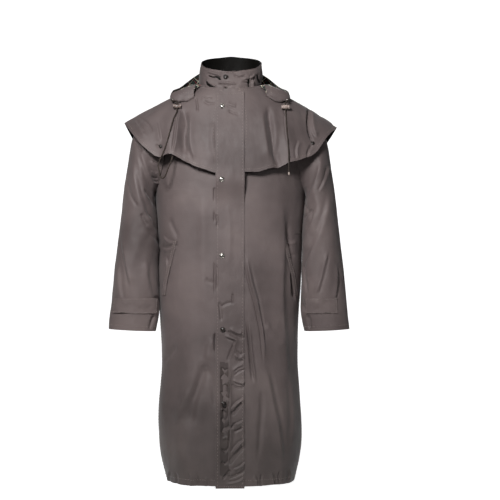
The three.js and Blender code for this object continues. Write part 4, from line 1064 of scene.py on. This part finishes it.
stud = turned("stud pattern", STUD, (nickel, stud_shade), STUD_GROOVE)
ring = turned("eyelet pattern", EYELET, (nickel,))
barrel = turned("toggle pattern", TOGGLE, (toggle_plastic,))
# Painted reflection: the collar, lower front and cape studs are the same nickel as the others, drawn dark for
# the dark reflection they show.
nickel_painted_dark = moulded("nickel painted dark for its reflection", "#17110F", "#2E2724", 0.3)
for node in ("stud_collar", "stud_throat", "stud_front_1", "stud_front_2", "stud_front_3", "stud_front_4",
             "stud_cape_right", "stud_cape_left"):
    dark = node in ("stud_collar", "stud_front_3", "stud_front_4", "stud_cape_right", "stud_cape_left")
    place_copy(stud, node, "stud_metal", True, 0.0075, 0.0002, (nickel_painted_dark, stud_shade) if dark else None)
for node in ("eyelet_right", "eyelet_left"):
    place_copy(ring, node, "stud_metal", True, 0.0054, 0.0)
toggles = [place_copy(barrel, node, "toggle_plastic", False, 0.005, 0.0, (finish,))
           for node, finish in (("toggle_right", toggle_dark), ("toggle_left", toggle_plastic))]
tip = turned("drawcord_left_tip", TIP, (cord_tip,))
tip.data.transform(Matrix.Translation((0.171, -0.1494, -0.2525)))
dress(tip, "cord")
for pattern in (stud, ring, barrel):
    bpy.data.objects.remove(pattern)
print("turned pieces placed")

# %% [markdown]
# The cords now get their braid and join the coat in place of their imported solids.

# %% Dress the cords
for cord, node in ((drawcord_right, "drawcord_right"), (drawcord_left, "drawcord_left")):
    cord.data.materials.append(cord_braid)
    dress(cord, "cord", node)

# %% [markdown]
# A plain pale studio: a floor that curves up into a backdrop, a large soft light from the
# upper left in front, a weaker one from the right, and pale light all round.

# %% Floor and light
FLOOR_Z = -1.32
BACK_Y = 5
bpy.ops.mesh.primitive_plane_add(size=1, location=(0, 1.8, FLOOR_Z))
floor = bpy.context.object
floor.name = "floor"
floor.scale = (4.6, 8.4, 1)
bpy.ops.object.transform_apply(location=True, rotation=True, scale=True)


def pick_edges(mesh, wanted):
    bpy.ops.mesh.select_all(action="DESELECT")
    bm = bmesh.from_edit_mesh(mesh)
    for edge in bm.edges:
        if wanted(edge):
            edge.select_set(True)
    bmesh.update_edit_mesh(mesh)


bpy.ops.object.mode_set(mode="EDIT")
pick_edges(floor.data, lambda edge: all(v.co.y > BACK_Y for v in edge.verts))
bpy.ops.mesh.extrude_region_move(TRANSFORM_OT_translate={"value": (0, 0, 3.1)})
pick_edges(floor.data, lambda edge: all(v.co.y > BACK_Y and v.co.z < FLOOR_Z + 0.1 for v in edge.verts))
bpy.ops.mesh.bevel(offset=1.2, segments=16, affect="EDGES")
bpy.ops.object.mode_set(mode="OBJECT")
bpy.ops.object.shade_smooth()
paper, tree, shader = start_finish("matt white paper", 0.9)
shader.inputs["Base Color"].default_value = linear("#F4F4F3")
shader.inputs["Emission Color"].default_value = (1, 1, 1, 1)
place = add_node(tree, "TexCoord")
depth = add_node(tree, "SeparateXYZ", links={"Vector": place.outputs["Object"]})
glow = add_node(tree, "MapRange",
                values={"From Min": 0.1, "From Max": 0.6, "To Min": 0.0, "To Max": 0.86},
                links={"Value": depth.outputs["Y"]})
tree.links.new(glow.outputs["Result"], shader.inputs["Emission Strength"])
floor.data.materials.append(paper)

for name, place, size, power, spread, aim in (
        ("key light", (-0.65, -2.0, 0.75), 0.55, 12.5, 74, (0, 0, -0.58)),
        ("fill light", (1.9, -2.6, 0.1), 1.2, 3, 120, (0, 0, -0.4)),
        ("top light", (0, 0.6, 2.2), 1.6, 3, 120, (0, 0, -0.3))):
    bpy.ops.object.light_add(type="AREA", location=place)
    light = bpy.context.object
    light.name = name
    light.data.size = size
    light.data.energy = power
    light.data.spread = math.radians(spread)
    light.rotation_euler = (Vector(aim) - Vector(place)).to_track_quat("-Z", "Y").to_euler()
world = bpy.data.worlds.new("pale room")
world.use_nodes = True
world.node_tree.nodes["Background"].inputs["Color"].default_value = (1, 1, 1, 1)
world.node_tree.nodes["Background"].inputs["Strength"].default_value = 0.09
bpy.context.scene.world = world
bpy.context.scene.view_settings.view_transform = "Standard"
print("lights set")
